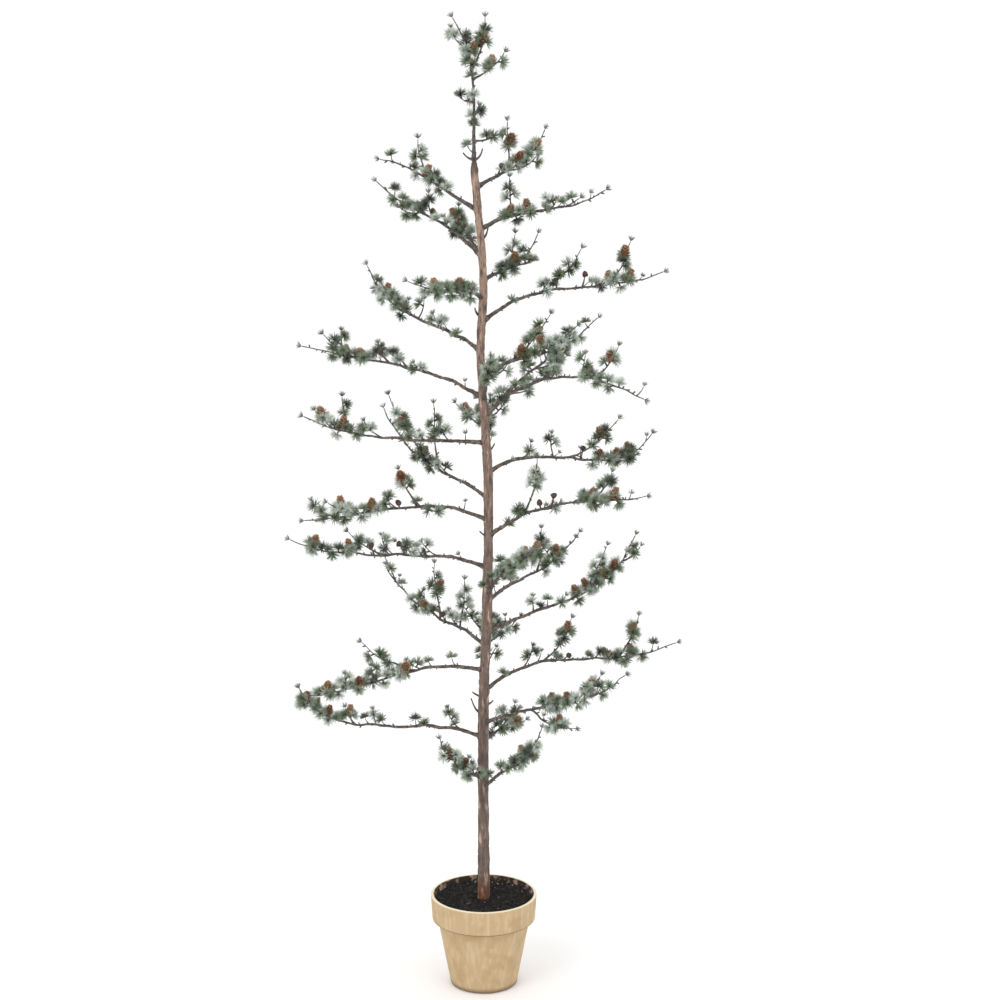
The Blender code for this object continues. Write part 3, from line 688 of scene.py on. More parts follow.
@dataclass(frozen=True)
class PrintedBark(Finish):
    """Paper-wrapped bark, printed and pressed: grey-brown below, tan above, reddish at the foot."""

    low: str = "#6a5a52"
    middle: str = "#7c675c"
    high: str = "#9a8170"
    foot: str = "#744529"
    furrow: str = "#4b403a"
    # Painted highlight and painted shade, laid in blotches of the mottle pattern.
    highlight_patch: str = "#b79d88"
    shade_patch: str = "#574740"
    knuckle: str = "#4f4540"
    middle_heights: tuple[float, float] = (0.40, 0.95)
    high_heights: tuple[float, float] = (0.95, 1.45)
    foot_heights: tuple[float, float] = (0.225, 0.175)
    knuckle_heights: tuple[float, float] = (1.505, 1.536)
    furrow_size: float = 2.6
    furrow_from: tuple[float, float] = (0.50, 0.30)
    mottle_size: float = 6.0
    shade_patch_from: tuple[float, float] = (0.50, 0.32)
    highlight_patch_from: tuple[float, float] = (0.55, 0.72)

    def material(self) -> bpy.types.Material:
        """Make the bark: its colour climbs with height, with dark upright furrows and blotches of
        painted shade and painted highlight.
        """
        material, tree, coords = self.start()
        place = (coords, "Object")
        height = add_node(tree, "ShaderNodeSeparateXYZ", {"Vector": place})
        climb = self.stretch(tree, (height, "Z"), *self.middle_heights)
        crown = self.stretch(tree, (height, "Z"), *self.high_heights)
        root = self.stretch(tree, (height, "Z"), *self.foot_heights)
        colour = self.blended(tree, climb, self.low, self.middle)
        colour = self.blended(tree, crown, colour, self.high)
        colour = self.blended(tree, root, colour, self.foot)
        upright = add_node(tree, "ShaderNodeMapping", {"Vector": place, "Scale": (1, 1, 0.2)})
        furrows = self.noise(tree, (upright, "Vector"), self.furrow_size, 5.0)
        dark = self.stretch(tree, furrows, *self.furrow_from)
        mottles = self.noise(tree, (upright, "Vector"), self.mottle_size, 4.0)
        # Blotches of painted shade and painted highlight.
        shaded_patches = self.stretch(tree, mottles, *self.shade_patch_from)
        highlighted_patches = self.stretch(tree, mottles, *self.highlight_patch_from)
        joint = self.stretch(tree, (height, "Z"), *self.knuckle_heights)
        colour = self.blended(tree, shaded_patches, colour, self.shade_patch)
        colour = self.blended(tree, highlighted_patches, colour, self.highlight_patch)
        colour = self.blended(tree, joint, colour, self.knuckle)
        self.end(tree, place, self.blended(tree, dark, colour, self.furrow))
        return material


CLAY = FiredClay("fired_buff_clay", 0.86, relief=0.25, grain=0.9)
LOAM = Speckled("dark_peat_fill", 0.95, relief=0.8, grain=1.6)
GRIT = Speckled("pale_mineral_grit", 0.85, relief=0.2, grain=1.0, low="#b9a68c", high="#d8c9b2")
BARK = PrintedBark("pressed_paper_bark", 0.82, relief=0.5, grain=1.4)
# The inner wall above the fill: dark soil stain and painted shade under the rim, with pinkish-tan
# patches.
STAINED_SHADED_BORE = Speckled("soil_stained_clay_painted_shade", 0.92, relief=0.4, grain=1.2, low="#2b231c", high="#a08672",
                 patch=16.0, floor=0.50, ceiling=0.64)
LIMB = Speckled("wrapped_wire_limb", 0.80, relief=0.35, grain=1.1, low="#443b36", high="#74665d",
                patch=6.0, floor=0.38, ceiling=0.66)
TWIG = Speckled("moulded_dark_twig", 0.78, relief=0.25, grain=0.8, low="#3d3733", high="#6b635e",
                patch=4.0, floor=0.40, ceiling=0.70)
SCALE = Speckled("russet_cone_scale", 0.72, relief=0.12, grain=0.7, low="#5c3a2b", high="#93614a",
                 patch=5.0, floor=0.35, ceiling=0.65)
# Painted highlight on the scales' outer edges.
SCALE_HIGHLIGHT = Speckled("cone_edge_painted_highlight", 0.70, relief=0.1, grain=0.7, low="#a9805e", high="#c6a27f",
                      patch=5.0, floor=0.35, ceiling=0.65)
TAN_SCALE = Speckled("tan_cone_scale", 0.72, relief=0.12, grain=0.7, low="#6b5138", high="#a3825a",
                     patch=5.0, floor=0.35, ceiling=0.65)
BALL = Speckled("closed_dark_cone", 0.75, relief=0.3, grain=1.0, low="#3b2a22", high="#6b4632")


def needle_finish(tint: Tint) -> bpy.types.Material:
    """Make the moulded needle plastic of one tint, with a powdery frost in paler patches."""
    low, high = tint.value
    name = "frosted_needle_plastic_" + tint.name.lower()
    return Speckled(name, 0.66, relief=0.05, grain=0.5, low=low, high=high,
                    patch=14.0, floor=0.35, ceiling=0.65).material()


@dataclass
class ClayPot:
    """The clay pot: a tapering body under a deep rim band, with softly worn edges."""

    height: float = 0.175
    rim_radius: float = 0.0995
    band_height: float = 0.048
    band_foot_radius: float = 0.0965
    body_top_radius: float = 0.0865
    base_radius: float = 0.0625
    wall: float = 0.0065
    edge: float = 0.0022
    floor: float = 0.0085
    segments: int = 160
    row_step: float = 0.006
    waver: float = 0.00035
    waver_size: float = 0.045

    def bore(self, height: float) -> float:
        """Give the radius of the inner wall at this height."""
        return between(self.base_radius, self.rim_radius - 0.002, height / self.height) - self.wall

    def profile(self) -> np.ndarray:
        """Work out the turned profile, from the underside's rim round to the inner floor.

        Each corner is replaced by a curve of five points, (1-t)^2 before + 2t(1-t) corner +
        t^2 after, between points one edge radius before and after it.

        Returns:
            Radius and height of each point.
        """
        shoulder = self.height - self.band_height
        corners = np.array((
            (self.base_radius * 0.5, 0.0),
            (self.base_radius, 0.0),
            (self.body_top_radius, shoulder),
            (self.band_foot_radius, shoulder),
            (self.rim_radius, self.height),
            (self.rim_radius - self.wall, self.height),
            (self.bore(self.floor), self.floor),
            (self.base_radius * 0.3, self.floor),
        ))
        back = unit(corners[:-2] - corners[1:-1])
        ahead = unit(corners[2:] - corners[1:-1])
        steps = np.linspace(0, 1, 5)[None, :, None]
        before = (corners[1:-1] + back * self.edge)[:, None]
        after = (corners[1:-1] + ahead * self.edge)[:, None]
        bend = corners[1:-1][:, None]
        curves = (1 - steps) ** 2 * before + 2 * steps * (1 - steps) * bend + steps**2 * after
        return np.concatenate((corners[:1], curves.reshape(-1, 2), corners[-1:]))

    def shape(self) -> Shape:
        """Turn the profile about the axis, with the faint waver of a thrown wall."""
        outline = self.profile()
        dense = [outline[:1]]
        for low, high in zip(outline, outline[1:]):
            count = max(1, int(np.linalg.norm(high - low) / self.row_step))
            dense.append(low + (high - low) * np.linspace(0, 1, count + 1)[1:, None])
        line = np.concatenate(dense)
        spokes = spokes_of(self.segments)
        rows = line[:, None, :1] * spokes + line[:, None, 1:] * UP
        waver = lumps(rows * (1, 1, 2.5), self.waver_size, 3) * self.waver
        shape = skin(rows - spokes * np.abs(waver)[..., None])
        middles = shape.points[shape.triangles].mean(axis=1)
        far = np.hypot(middles[:, 0], middles[:, 1])
        wall_middle = between(self.base_radius, self.rim_radius, middles[:, 2] / self.height)
        # The inner wall takes the second material: soil stain with painted shade.
        inside = (far < wall_middle - self.wall + 0.001) & (middles[:, 2] > self.floor)
        return Shape(shape.points, shape.triangles, inside.astype(np.int32))

    def build(self) -> None:
        """Make the pot."""
        Piece("clay_pot", self.shape(), [CLAY.material(), STAINED_SHADED_BORE.material()], Slot.CLAY, ["pot"]).build()


@dataclass
class PottingFill:
    """The dark fill: a crumbly top with loose crumbs, and pale grit by the back wall."""

    level: float = 0.165
    foot: float = 0.0088
    rings: int = 70
    segments: int = 200
    clearance: float = 0.0003
    wall_gap: float = 0.003
    crumbs: int = 1500
    crumb_radius: tuple[float, float] = (0.0007, 0.0031)
    grit: int = 26
    grit_radius: tuple[float, float] = (0.0008, 0.0020)
    grit_spread: float = 0.5
    grit_band: tuple[float, float] = (0.84, 0.99)
    specks: int = 9
    speck_reach: float = 0.6
    flatness: float = 0.8
    grain_half: float = 0.7
    proud: float = 0.2
    any_turn: float = 6.28
    seed: int = 5

    def top(self, points: np.ndarray) -> np.ndarray:
        """Give the height of the top: three sizes of lumps about the fill's level."""
        relief = lumps(points, 0.016, 11) * 0.0013 + lumps(points, 0.005, 12) * 0.0010
        return self.level + 0.0004 + relief + lumps(points, 0.0022, 13) * 0.0006

    def bed(self, pot: ClayPot) -> Shape:
        """Make the fill itself: its foot, its side along the bore, and its lumpy top."""
        foot_radius = pot.bore(self.foot) - self.clearance
        radius = pot.bore(self.level) - self.clearance
        spokes = spokes_of(self.segments)
        low = foot_radius * spokes + UP * self.foot
        flat = np.linspace(1, 0.02, self.rings)[:, None, None] * radius * spokes
        surface = flat + self.top(flat)[..., None] * UP
        underside = low * (0.5, 0.5, 1)
        return skin(np.concatenate((underside[None], low[None], surface)))

    def grains(self, count: int, size: tuple[float, float], spots: np.ndarray) -> Shape:
        """Strew lumpy grains of eight faces over the top.

        Args:
            count: How many grains.
            size: Smallest and largest radius.
            spots: Where they lie, as x and y.

        Returns:
            The grains as one shape.
        """
        dice = np.random.default_rng(self.seed + count)
        belt = spokes_of(4) * (1, self.flatness, 1)
        grain = skin(belt[None], foot=-UP * self.grain_half, tip=UP * self.grain_half)
        level = np.concatenate((spots, np.zeros((count, 1))), axis=1)
        radii = dice.uniform(*size, count)
        places = level + (self.top(level) + radii * self.proud)[:, None] * UP
        axes = axes_along(unit(dice.normal(size=(count, 3))), dice.uniform(0, self.any_turn, count))
        return strewn(grain, places, axes * radii[:, None, None])

    def build(self, pot: ClayPot) -> None:
        """Make the bed with its crumbs, and the grit."""
        dice = np.random.default_rng(self.seed)
        reach = pot.bore(self.level) - self.wall_gap
        turn = dice.uniform(0, 2 * math.pi, self.crumbs)
        far = reach * np.sqrt(dice.uniform(0.02, 1, self.crumbs))
        crumbs = self.grains(self.crumbs, self.crumb_radius, level_points(turn, far))
        bed = joined([self.bed(pot), crumbs])
        Piece("potting_fill", bed, [LOAM.material()], Slot.FILL, ["soil"]).build()
        turn = dice.normal(math.pi / 2, self.grit_spread, self.grit)
        far = reach * dice.uniform(*self.grit_band, self.grit)
        loose = reach * dice.uniform(-self.speck_reach, self.speck_reach, (self.specks, 2))
        spots = np.concatenate((level_points(turn, far), loose))
        grit = self.grains(self.grit + self.specks, self.grit_radius, spots)
        Piece("pale_grit", grit, [GRIT.material()], Slot.FILL).build()


@dataclass
class Trunk:
    """The stick: a leaning taper with pressed bark, collars under the boughs, and knots."""

    foot_radius: float = 0.0110
    top_radius: float = 0.0066
    tip_radius: float = 0.0036
    tip_height: float = 0.016
    flare: float = 0.10
    flare_height: float = 0.030
    waver: float = 0.03
    waver_turns: float = 34
    rows: int = 620
    sides: int = 96
    furrow_depth: float = 0.0007
    collar_rise: float = 0.0018
    collar_height: float = 0.0075
    collar_width: float = 0.0048
    collar_lift: float = 0.002
    bare_foot: float = 0.05
    bare_top: float = 0.03
    knots: int = 22
    knot_size: tuple[float, float] = (0.4, 0.9)
    seed: int = 29

    @staticmethod
    def axis(heights: float | np.ndarray) -> np.ndarray:
        """Give the trunk's centres at these heights.

        A smooth cubic runs through the stations of the lean: at the part t between stations b
        and c, with neighbours a and d, it is half of 2b + (c-a)t + (2a-5b+4c-d)t^2 +
        (3b-a-3c+d)t^3.

        Args:
            heights: Heights above the floor.

        Returns:
            One centre for each height.
        """
        heights = np.asarray(heights, dtype=float)
        lean = np.array(TRUNK_LEAN)
        last = len(lean) - 1
        k = np.clip(np.searchsorted(lean[:, 0], heights) - 1, 0, last - 1)
        a, b, c, d = (lean[np.clip(k + step, 0, last)] for step in (-1, 0, 1, 2))
        t = ((heights - b[..., 0]) / (c[..., 0] - b[..., 0]))[..., None]
        curve = 2 * b + (c - a) * t + (2 * a - 5 * b + 4 * c - d) * t**2
        curve = (curve + (3 * b - a - 3 * c + d) * t**3) / 2
        return np.stack((curve[..., 1], curve[..., 2], heights), axis=-1)

    def radius(self, heights: float | np.ndarray) -> np.ndarray:
        """Give the plain radius: a straight taper with a slow waver, a root flare, a drawn-in top."""
        share = (heights - TRUNK_FOOT) / (TRUNK_TOP - TRUNK_FOOT)
        waver = 1 + self.waver * np.sin(self.waver_turns * share)
        taper = between(self.foot_radius, self.top_radius, share) * waver
        flare = 1 + self.flare * np.exp(-(heights - TRUNK_FOOT) / self.flare_height)
        drawn_in = np.maximum(0.0, 1 - (TRUNK_TOP - heights) / self.tip_height)
        return taper * flare + (self.tip_radius - taper * flare) * drawn_in

    def relief(self, spots: np.ndarray, angles: np.ndarray, heights: np.ndarray) -> np.ndarray:
        """Work out how far the bark stands out of the plain radius.

        Furrows are where a pattern stretched five times upright passes through zero. Each bough
        has a collar, a bell-shaped rise round its root.

        Args:
            spots: Points on the plain surface, as rows by sides by 3.
            angles: The angle of each side.
            heights: The height of each row.

        Returns:
            The rise at each point.
        """
        upright = spots * (1, 1, 0.2)
        ridges = 1 - 2.2 * np.exp(-(lumps(upright, 0.0026, 21) / 0.28) ** 2)
        rise = self.furrow_depth * (0.6 * ridges + 0.5 * lumps(upright, 0.0011, 22) - 0.6)
        rise += 0.0006 * lumps(spots, 0.019, 23)
        dice = random.Random(self.seed)
        swells = [(bough.height + self.collar_lift, bough.compass, 1.0) for bough in BOUGHS[:-1]]
        for _ in range(self.knots):
            height = dice.uniform(TRUNK_FOOT + self.bare_foot, TRUNK_TOP - self.bare_top)
            swells.append((height, dice.uniform(0, 360), dice.uniform(*self.knot_size)))
        for height, compass, size in swells:
            swing = np.angle(np.exp(1j * (angles - math.radians(compass))))
            along = np.exp(-((heights - height) / (self.collar_height * size)) ** 2)
            round_it = np.exp(-(swing * self.top_radius / (self.collar_width * size)) ** 2)
            rise += self.collar_rise * size * along[:, None] * round_it[None]
        return rise

    def build(self) -> None:
        """Make the trunk and its bark."""
        heights = np.linspace(TRUNK_FOOT, TRUNK_TOP, self.rows)
        angles = np.arange(self.sides) * 2 * math.pi / self.sides
        spokes = spokes_of(self.sides)
        plain = self.axis(heights)[:, None] + spokes * self.radius(heights)[:, None, None]
        rise = self.relief(plain, angles, heights)
        shape = skin(plain + spokes * rise[..., None])
        Piece("bark_trunk", shape, [BARK.material()], Slot.BARK, ["trunk"]).build()


class Stub(NamedTuple):
    """A short bare stub on the trunk: its height, compass, length and climb in degrees."""

    height: float
    compass: float
    length: float
    climb: float


STUBS = (
    Stub(0.524, 186, 0.036, 62),
    Stub(0.540, 8, 0.016, 40),
    Stub(0.556, 160, 0.018, 30),
    Stub(0.700, 40, 0.014, 50),
    Stub(0.862, 200, 0.015, 45),
    Stub(1.020, 340, 0.017, 60),
    Stub(1.262, 170, 0.018, 68),
    Stub(1.400, 20, 0.030, 74),
    Stub(1.548, 200, 0.020, 44),
    Stub(1.550, 350, 0.022, 66),
)


@dataclass
class Growth:
    """Everything that grows from the trunk, placed by the same rule and draws as the solids."""

    trunk: Trunk
    limbs: list[Stem] = field(default_factory=list)
    stems: list[Stem] = field(default_factory=list)
    tufts: list[Sprout] = field(default_factory=list)
    rosettes: list[Sprout] = field(default_factory=list)
    cones: list[Sprout] = field(default_factory=list)
    balls: list[np.ndarray] = field(default_factory=list)
    spurs: list[Sprout] = field(default_factory=list)
    root_radius: float = 0.0034
    tip_radius: float = 0.0013
    fork_radius: float = 0.0018
    twig_radius: float = 0.0011
    handle: float = 0.38
    fork_bend: float = 16.0
    bough_steps: int = 40
    fork_steps: int = 16
    tuft_radius: float = 0.0190
    rosette_radius: float = 0.0135
    spur_length: float = 0.0060
    tuft_step: float = 0.0105
    tuft_lift: float = 0.55
    cone_length: float = 0.027
    cone_lean: tuple[float, float] = (0.2, 0.8)
    cone_share: float = 0.92
    tufts_by_cone: int = 2
    cone_tuft: tuple[float, float] = (0.015, 0.018)
    side_twig_step: float = 0.042
    side_twig_length: tuple[float, float] = (0.012, 0.026)
    side_twig_climb: tuple[float, float] = (35.0, 80.0)
    side_twig_share: float = 0.8
    side_tuft_share: float = 0.92
    side_twig_swing: tuple[float, float] = (30.0, 100.0)
    side_twigs_from: float = 0.10
    fork_leafy: tuple[float, float] = (0.40, 0.80)
    fork_cone_chance: float = 0.40
    ball_chance: float = 0.35
    spur_step: float = 0.009
    spur_ahead: float = 0.5
    spur_lift: float = 0.25
    spur_root: float = 0.7
    spur_reach: tuple[float, float] = (0.0030, 0.0062)
    twiglet_step: float = 0.042
    twiglet_swing: tuple[float, float] = (25, 80)
    twiglet_climb: tuple[float, float] = (20, 60)
    twiglet_length: tuple[float, float] = (0.009, 0.024)
    twiglet_curl: float = 20
    twiglet_girth: tuple[float, float] = (0.0010, 0.0006)
    twiglet_tuft_chance: float = 0.6
    small_tuft: tuple[float, float] = (0.014, 0.018)
    small_tuft_lift: float = 0.4
    small_rosette: tuple[float, float] = (0.009, 0.012)
    shoot_step: float = 0.080
    shoot_swing: tuple[float, float] = (20, 70)
    shoot_climb: tuple[float, float] = (5, 60)
    shoot_length: tuple[float, float] = (0.026, 0.056)
    shoot_curl: float = 26
    shoot_girth: tuple[float, float] = (0.0014, 0.0008)
    shoot_leafy: tuple[float, float] = (0.48, 0.88)
    shoot_rosette: float = 0.012
    trunk_radius: float = 0.012
    stub_girth: tuple[float, float] = (0.0021, 0.0012)

    def climbing(self, start: np.ndarray, compass: float, reach: float, rise: float,
                 root_climb: float, tip_climb: float, count: int) -> Path:
        """Make a cubic in one upright plane, whose two handles set how it leaves and ends.

        Its point at t is (1-t)^3 start + 3(1-t)^2 t near + 3(1-t)t^2 far + t^3 end.

        Args:
            start: Where it starts.
            compass: The plane's compass angle.
            reach: How far out its tip is.
            rise: How far up its tip is.
            root_climb: How steeply it leaves, in degrees.
            tip_climb: How steeply it ends, in degrees.
            count: Its number of steps.

        Returns:
            The path.
        """
        handle = self.handle * math.hypot(reach, rise)
        end = start + heading(compass) * reach + UP * rise
        near = start + sloping(compass, root_climb) * handle
        far = end - sloping(compass, tip_climb) * handle
        t = np.linspace(0, 1, count + 1)[:, None]
        s = 1 - t
        points = s**3 * start + 3 * s * s * t * near + 3 * s * t * t * far + t**3 * end
        return Path(points, compass)

    def curling(self, foot: np.ndarray, compass: float, length: float, climb: float, curl: float,
                count: int) -> Path:
        """Make a twig's centreline, which leaves lower and ends steeper than its climb.

        Args:
            foot: Where it starts.
            compass: Its plane's compass angle.
            length: The distance to its tip.
            climb: How steeply its tip stands over its foot, in degrees.
            curl: How much lower it leaves and steeper it ends, in degrees.
            count: Its number of steps.

        Returns:
            The path.
        """
        rise = length * math.sin(math.radians(climb))
        reach = length * math.cos(math.radians(climb))
        return self.climbing(foot, compass, reach, rise, climb - curl, climb + curl, count)

    def fork_path(self, bough: Bough, fork: Fork, path: Path) -> Path:
        """Make a fork's centreline: it leaves low and curls up, in a plane swung from the bough's."""
        climb = math.degrees(math.atan2(fork.rise, fork.reach))
        return self.climbing(
            path.at(fork.share), bough.compass + fork.swing, fork.reach, fork.rise,
            climb - self.fork_bend, climb + self.fork_bend, self.fork_steps,
        )

    def add_tufts(self, path: Path, leafy: tuple[float, float], dice: random.Random) -> None:
        """Add tufts in a spiral along a leafy stretch, lifted towards the light."""
        first, last = leafy
        count = max(1, round(path.length * (last - first) / self.tuft_step))
        across = heading(path.compass + 90)
        turn = dice.uniform(0, 360)
        for k in range(count):
            share = between(first, last, (k + dice.uniform(0.25, 0.75)) / count)
            turn += GOLDEN_TURN
            lift = np.cross(path.direction(share), across)
            angle = math.radians(turn)
            out = unit(across * math.cos(angle) - lift * math.sin(angle) + UP * self.tuft_lift)
            radius = self.tuft_radius * dice.uniform(0.86, 1.0)
            foot = path.at(share)
            self.tufts.append(Sprout(foot + out * self.spur_length, out, radius))
            self.spurs.append(Sprout(foot, out, self.spur_length * 1.2))

    def add_cones(self, path: Path, leafy: tuple[float, float], count: int,
                  dice: random.Random) -> None:
        """Add cones over a leafy stretch, standing up from the stem."""
        first, last = leafy
        for k in range(count):
            share = between(first, last, (k + dice.uniform(0.2, 0.8)) / count)
            lean = heading(dice.uniform(0, 360)) * dice.uniform(*self.cone_lean)
            length = self.cone_length * dice.uniform(0.85, 1.05)
            self.cones.append(Sprout(path.at(share), unit(UP + lean), length * self.cone_share))

    def add_side_twigs(self, path: Path, first: float, last: float, dice: random.Random) -> None:
        """Add short bare twigs along a stretch, each with a tuft or a small ball at its end."""
        count = int(path.length * (last - first) / self.side_twig_step)
        for k in range(count):
            share = between(first, last, (k + dice.uniform(0.2, 0.8)) / count)
            compass = path.compass + dice.choice((-1, 1)) * dice.uniform(*self.side_twig_swing)
            run = sloping(compass, dice.uniform(*self.side_twig_climb))
            length = dice.uniform(*self.side_twig_length)
            foot = path.at(share)
            line = Path(np.linspace(foot, foot + run * length, 5), compass)
            girth = (self.fork_radius * self.side_twig_share, self.twig_radius * self.side_twig_share)
            self.stems.append(Stem(line, 0, 1, *girth))
            if dice.random() < self.ball_chance:
                self.balls.append(line.points[-1])
            else:
                size = self.tuft_radius * self.side_tuft_share
                self.tufts.append(Sprout(line.points[-1], run, size))

    def add_finer(self, path: Path, first: float, last: float, girth: tuple[float, float],
                  dice: random.Random) -> None:
        """Carry the rule on to what the solids leave out: spurs and thin bare twiglets.

        Args:
            path: The stem's centreline.
            first: The share where they start.
            last: The share where they end.
            girth: The stem's radius at its root and at its tip.
            dice: Draws of their own, apart from the solids'.
        """
        across = heading(path.compass + 90)
        stretch = path.length * (last - first)
        for k in range(int(stretch / self.spur_step)):
            share = between(first, last, (k + dice.random()) * self.spur_step / stretch)
            angle = dice.uniform(0, 2 * math.pi)
            run = path.direction(share)
            lift = np.cross(run, across)
            out = across * math.cos(angle) + lift * math.sin(angle)
            out = unit(out + run * self.spur_ahead + UP * self.spur_lift)
            foot = path.at(share) + out * between(*girth, share) * self.spur_root
            self.spurs.append(Sprout(foot, out, dice.uniform(*self.spur_reach)))
        for k in range(int(stretch / self.twiglet_step)):
            share = between(first, last, (k + dice.random()) * self.twiglet_step / stretch)
            compass = path.compass + dice.choice((-1, 1)) * dice.uniform(*self.twiglet_swing)
            climb = dice.uniform(*self.twiglet_climb)
            length = dice.uniform(*self.twiglet_length)
            line = self.curling(path.at(share), compass, length, climb, self.twiglet_curl, 6)
            self.stems.append(Stem(line, 0, 1, *self.twiglet_girth))
            if dice.random() < self.twiglet_tuft_chance:
                out = unit(line.direction(1) + UP * self.small_tuft_lift)
                size = dice.uniform(*self.small_tuft)
                self.tufts.append(Sprout(line.points[-1], out, size))
            else:
                size = dice.uniform(*self.small_rosette)
                self.rosettes.append(Sprout(line.points[-1], line.direction(1), size))

    def add_shoots(self, path: Path, first: float, last: float, dice: random.Random) -> None:
        """Add slim curling shoots along a stretch, with a few tufts and a tip rosette each.

        Args:
            path: The stem's centreline.
            first: The share where they start.
            last: The share where they end.
            dice: Draws of their own, apart from the solids'.
        """
        stretch = path.length * (last - first)
        for k in range(int(stretch / self.shoot_step)):
            share = between(first, last, (k + dice.random()) * self.shoot_step / stretch)
            compass = path.compass + dice.choice((-1, 1)) * dice.uniform(*self.shoot_swing)
            climb = dice.uniform(*self.shoot_climb)
            length = dice.uniform(*self.shoot_length)
            line = self.curling(path.at(share), compass, length, climb, self.shoot_curl, 10)
            self.stems.append(Stem(line, 0, 1, *self.shoot_girth))
            self.add_tufts(line, self.shoot_leafy, dice)
            self.rosettes.append(Sprout(line.points[-1], line.direction(1), self.shoot_rosette))

    def grow_bough(self, bough: Bough, number: int) -> None:
        """Place one bough and all that it carries.

        Args:
            bough: Its row of the table.
            number: Its place in the table, which seeds its draws.
        """
        dice = random.Random(number)
        finer = random.Random(1000 + number)
        path = self.climbing(
            self.trunk.axis(bough.height), bough.compass, bough.reach, bough.rise,
            bough.root_climb, bough.tip_climb, self.bough_steps,
        )
        forks = [self.fork_path(bough, fork, path) for fork in bough.forks]
        self.add_tufts(path, bough.leafy, dice)
        self.add_cones(path, bough.leafy, bough.cones, dice)
        for fork in forks:
            self.add_tufts(fork, self.fork_leafy, dice)
            if dice.random() < self.fork_cone_chance:
                self.add_cones(fork, self.fork_leafy, 1, dice)
        self.add_side_twigs(path, bough.wood + self.side_twigs_from, bough.leafy[0], dice)
        root = 0.0 if bough.name == "top" else self.trunk_radius / path.length
        whole = (self.root_radius, self.tip_radius)
        slim = (self.fork_radius, self.twig_radius)
        joint = between(*whole, bough.wood)
        if bough.wood:
            self.limbs.append(Stem(path, root * 0.6, bough.wood, self.root_radius, joint))
            self.add_finer(path, root * 2, bough.wood, whole, finer)
        first = bough.wood - 0.004 if bough.wood else root * 0.6
        self.stems.append(Stem(path, first, 1, joint, self.tip_radius * 0.7))
        self.add_finer(path, max(bough.wood, root * 2), bough.leafy[0], whole, finer)
        self.add_finer(path, bough.leafy[1], 0.98, whole, finer)
        self.add_shoots(path, max(root * 2, 0.10), bough.leafy[0], finer)
        self.add_shoots(path, bough.leafy[0], 0.94, finer)
        for fork in forks:
            self.stems.append(Stem(fork, 0, 1, self.fork_radius, self.twig_radius * 0.7))
            self.add_finer(fork, 0.08, self.fork_leafy[0], slim, finer)
            self.add_finer(fork, self.fork_leafy[1], 0.97, slim, finer)
        for line in [path] + forks:
            self.rosettes.append(Sprout(line.points[-1], line.direction(1), self.rosette_radius))

    def grow(self) -> None:
        """Place every bough in the table's order, tufts by the cones' feet, and the stubs."""
        for number, bough in enumerate(BOUGHS):
            self.grow_bough(bough, number)
        dice = random.Random(len(BOUGHS))
        for cone in self.cones:
            for _ in range(self.tufts_by_cone):
                out = unit(cone.out * 0.5 + heading(dice.uniform(0, 360)) + UP * 0.3)
                size = dice.uniform(*self.cone_tuft)
                self.tufts.append(Sprout(cone.foot + out * self.spur_length, out, size))
                self.spurs.append(Sprout(cone.foot, out, self.spur_length + MM))
        for stub in STUBS:
            reach = stub.length * math.cos(math.radians(stub.climb)) + 0.006
            rise = stub.length * math.sin(math.radians(stub.climb))
            foot = self.trunk.axis(min(stub.height, TRUNK_TOP - 0.001))
            line = self.climbing(foot, stub.compass, reach, rise, 20, stub.climb + 10, 8)
            self.stems.append(Stem(line, 0, 1, *self.stub_girth))


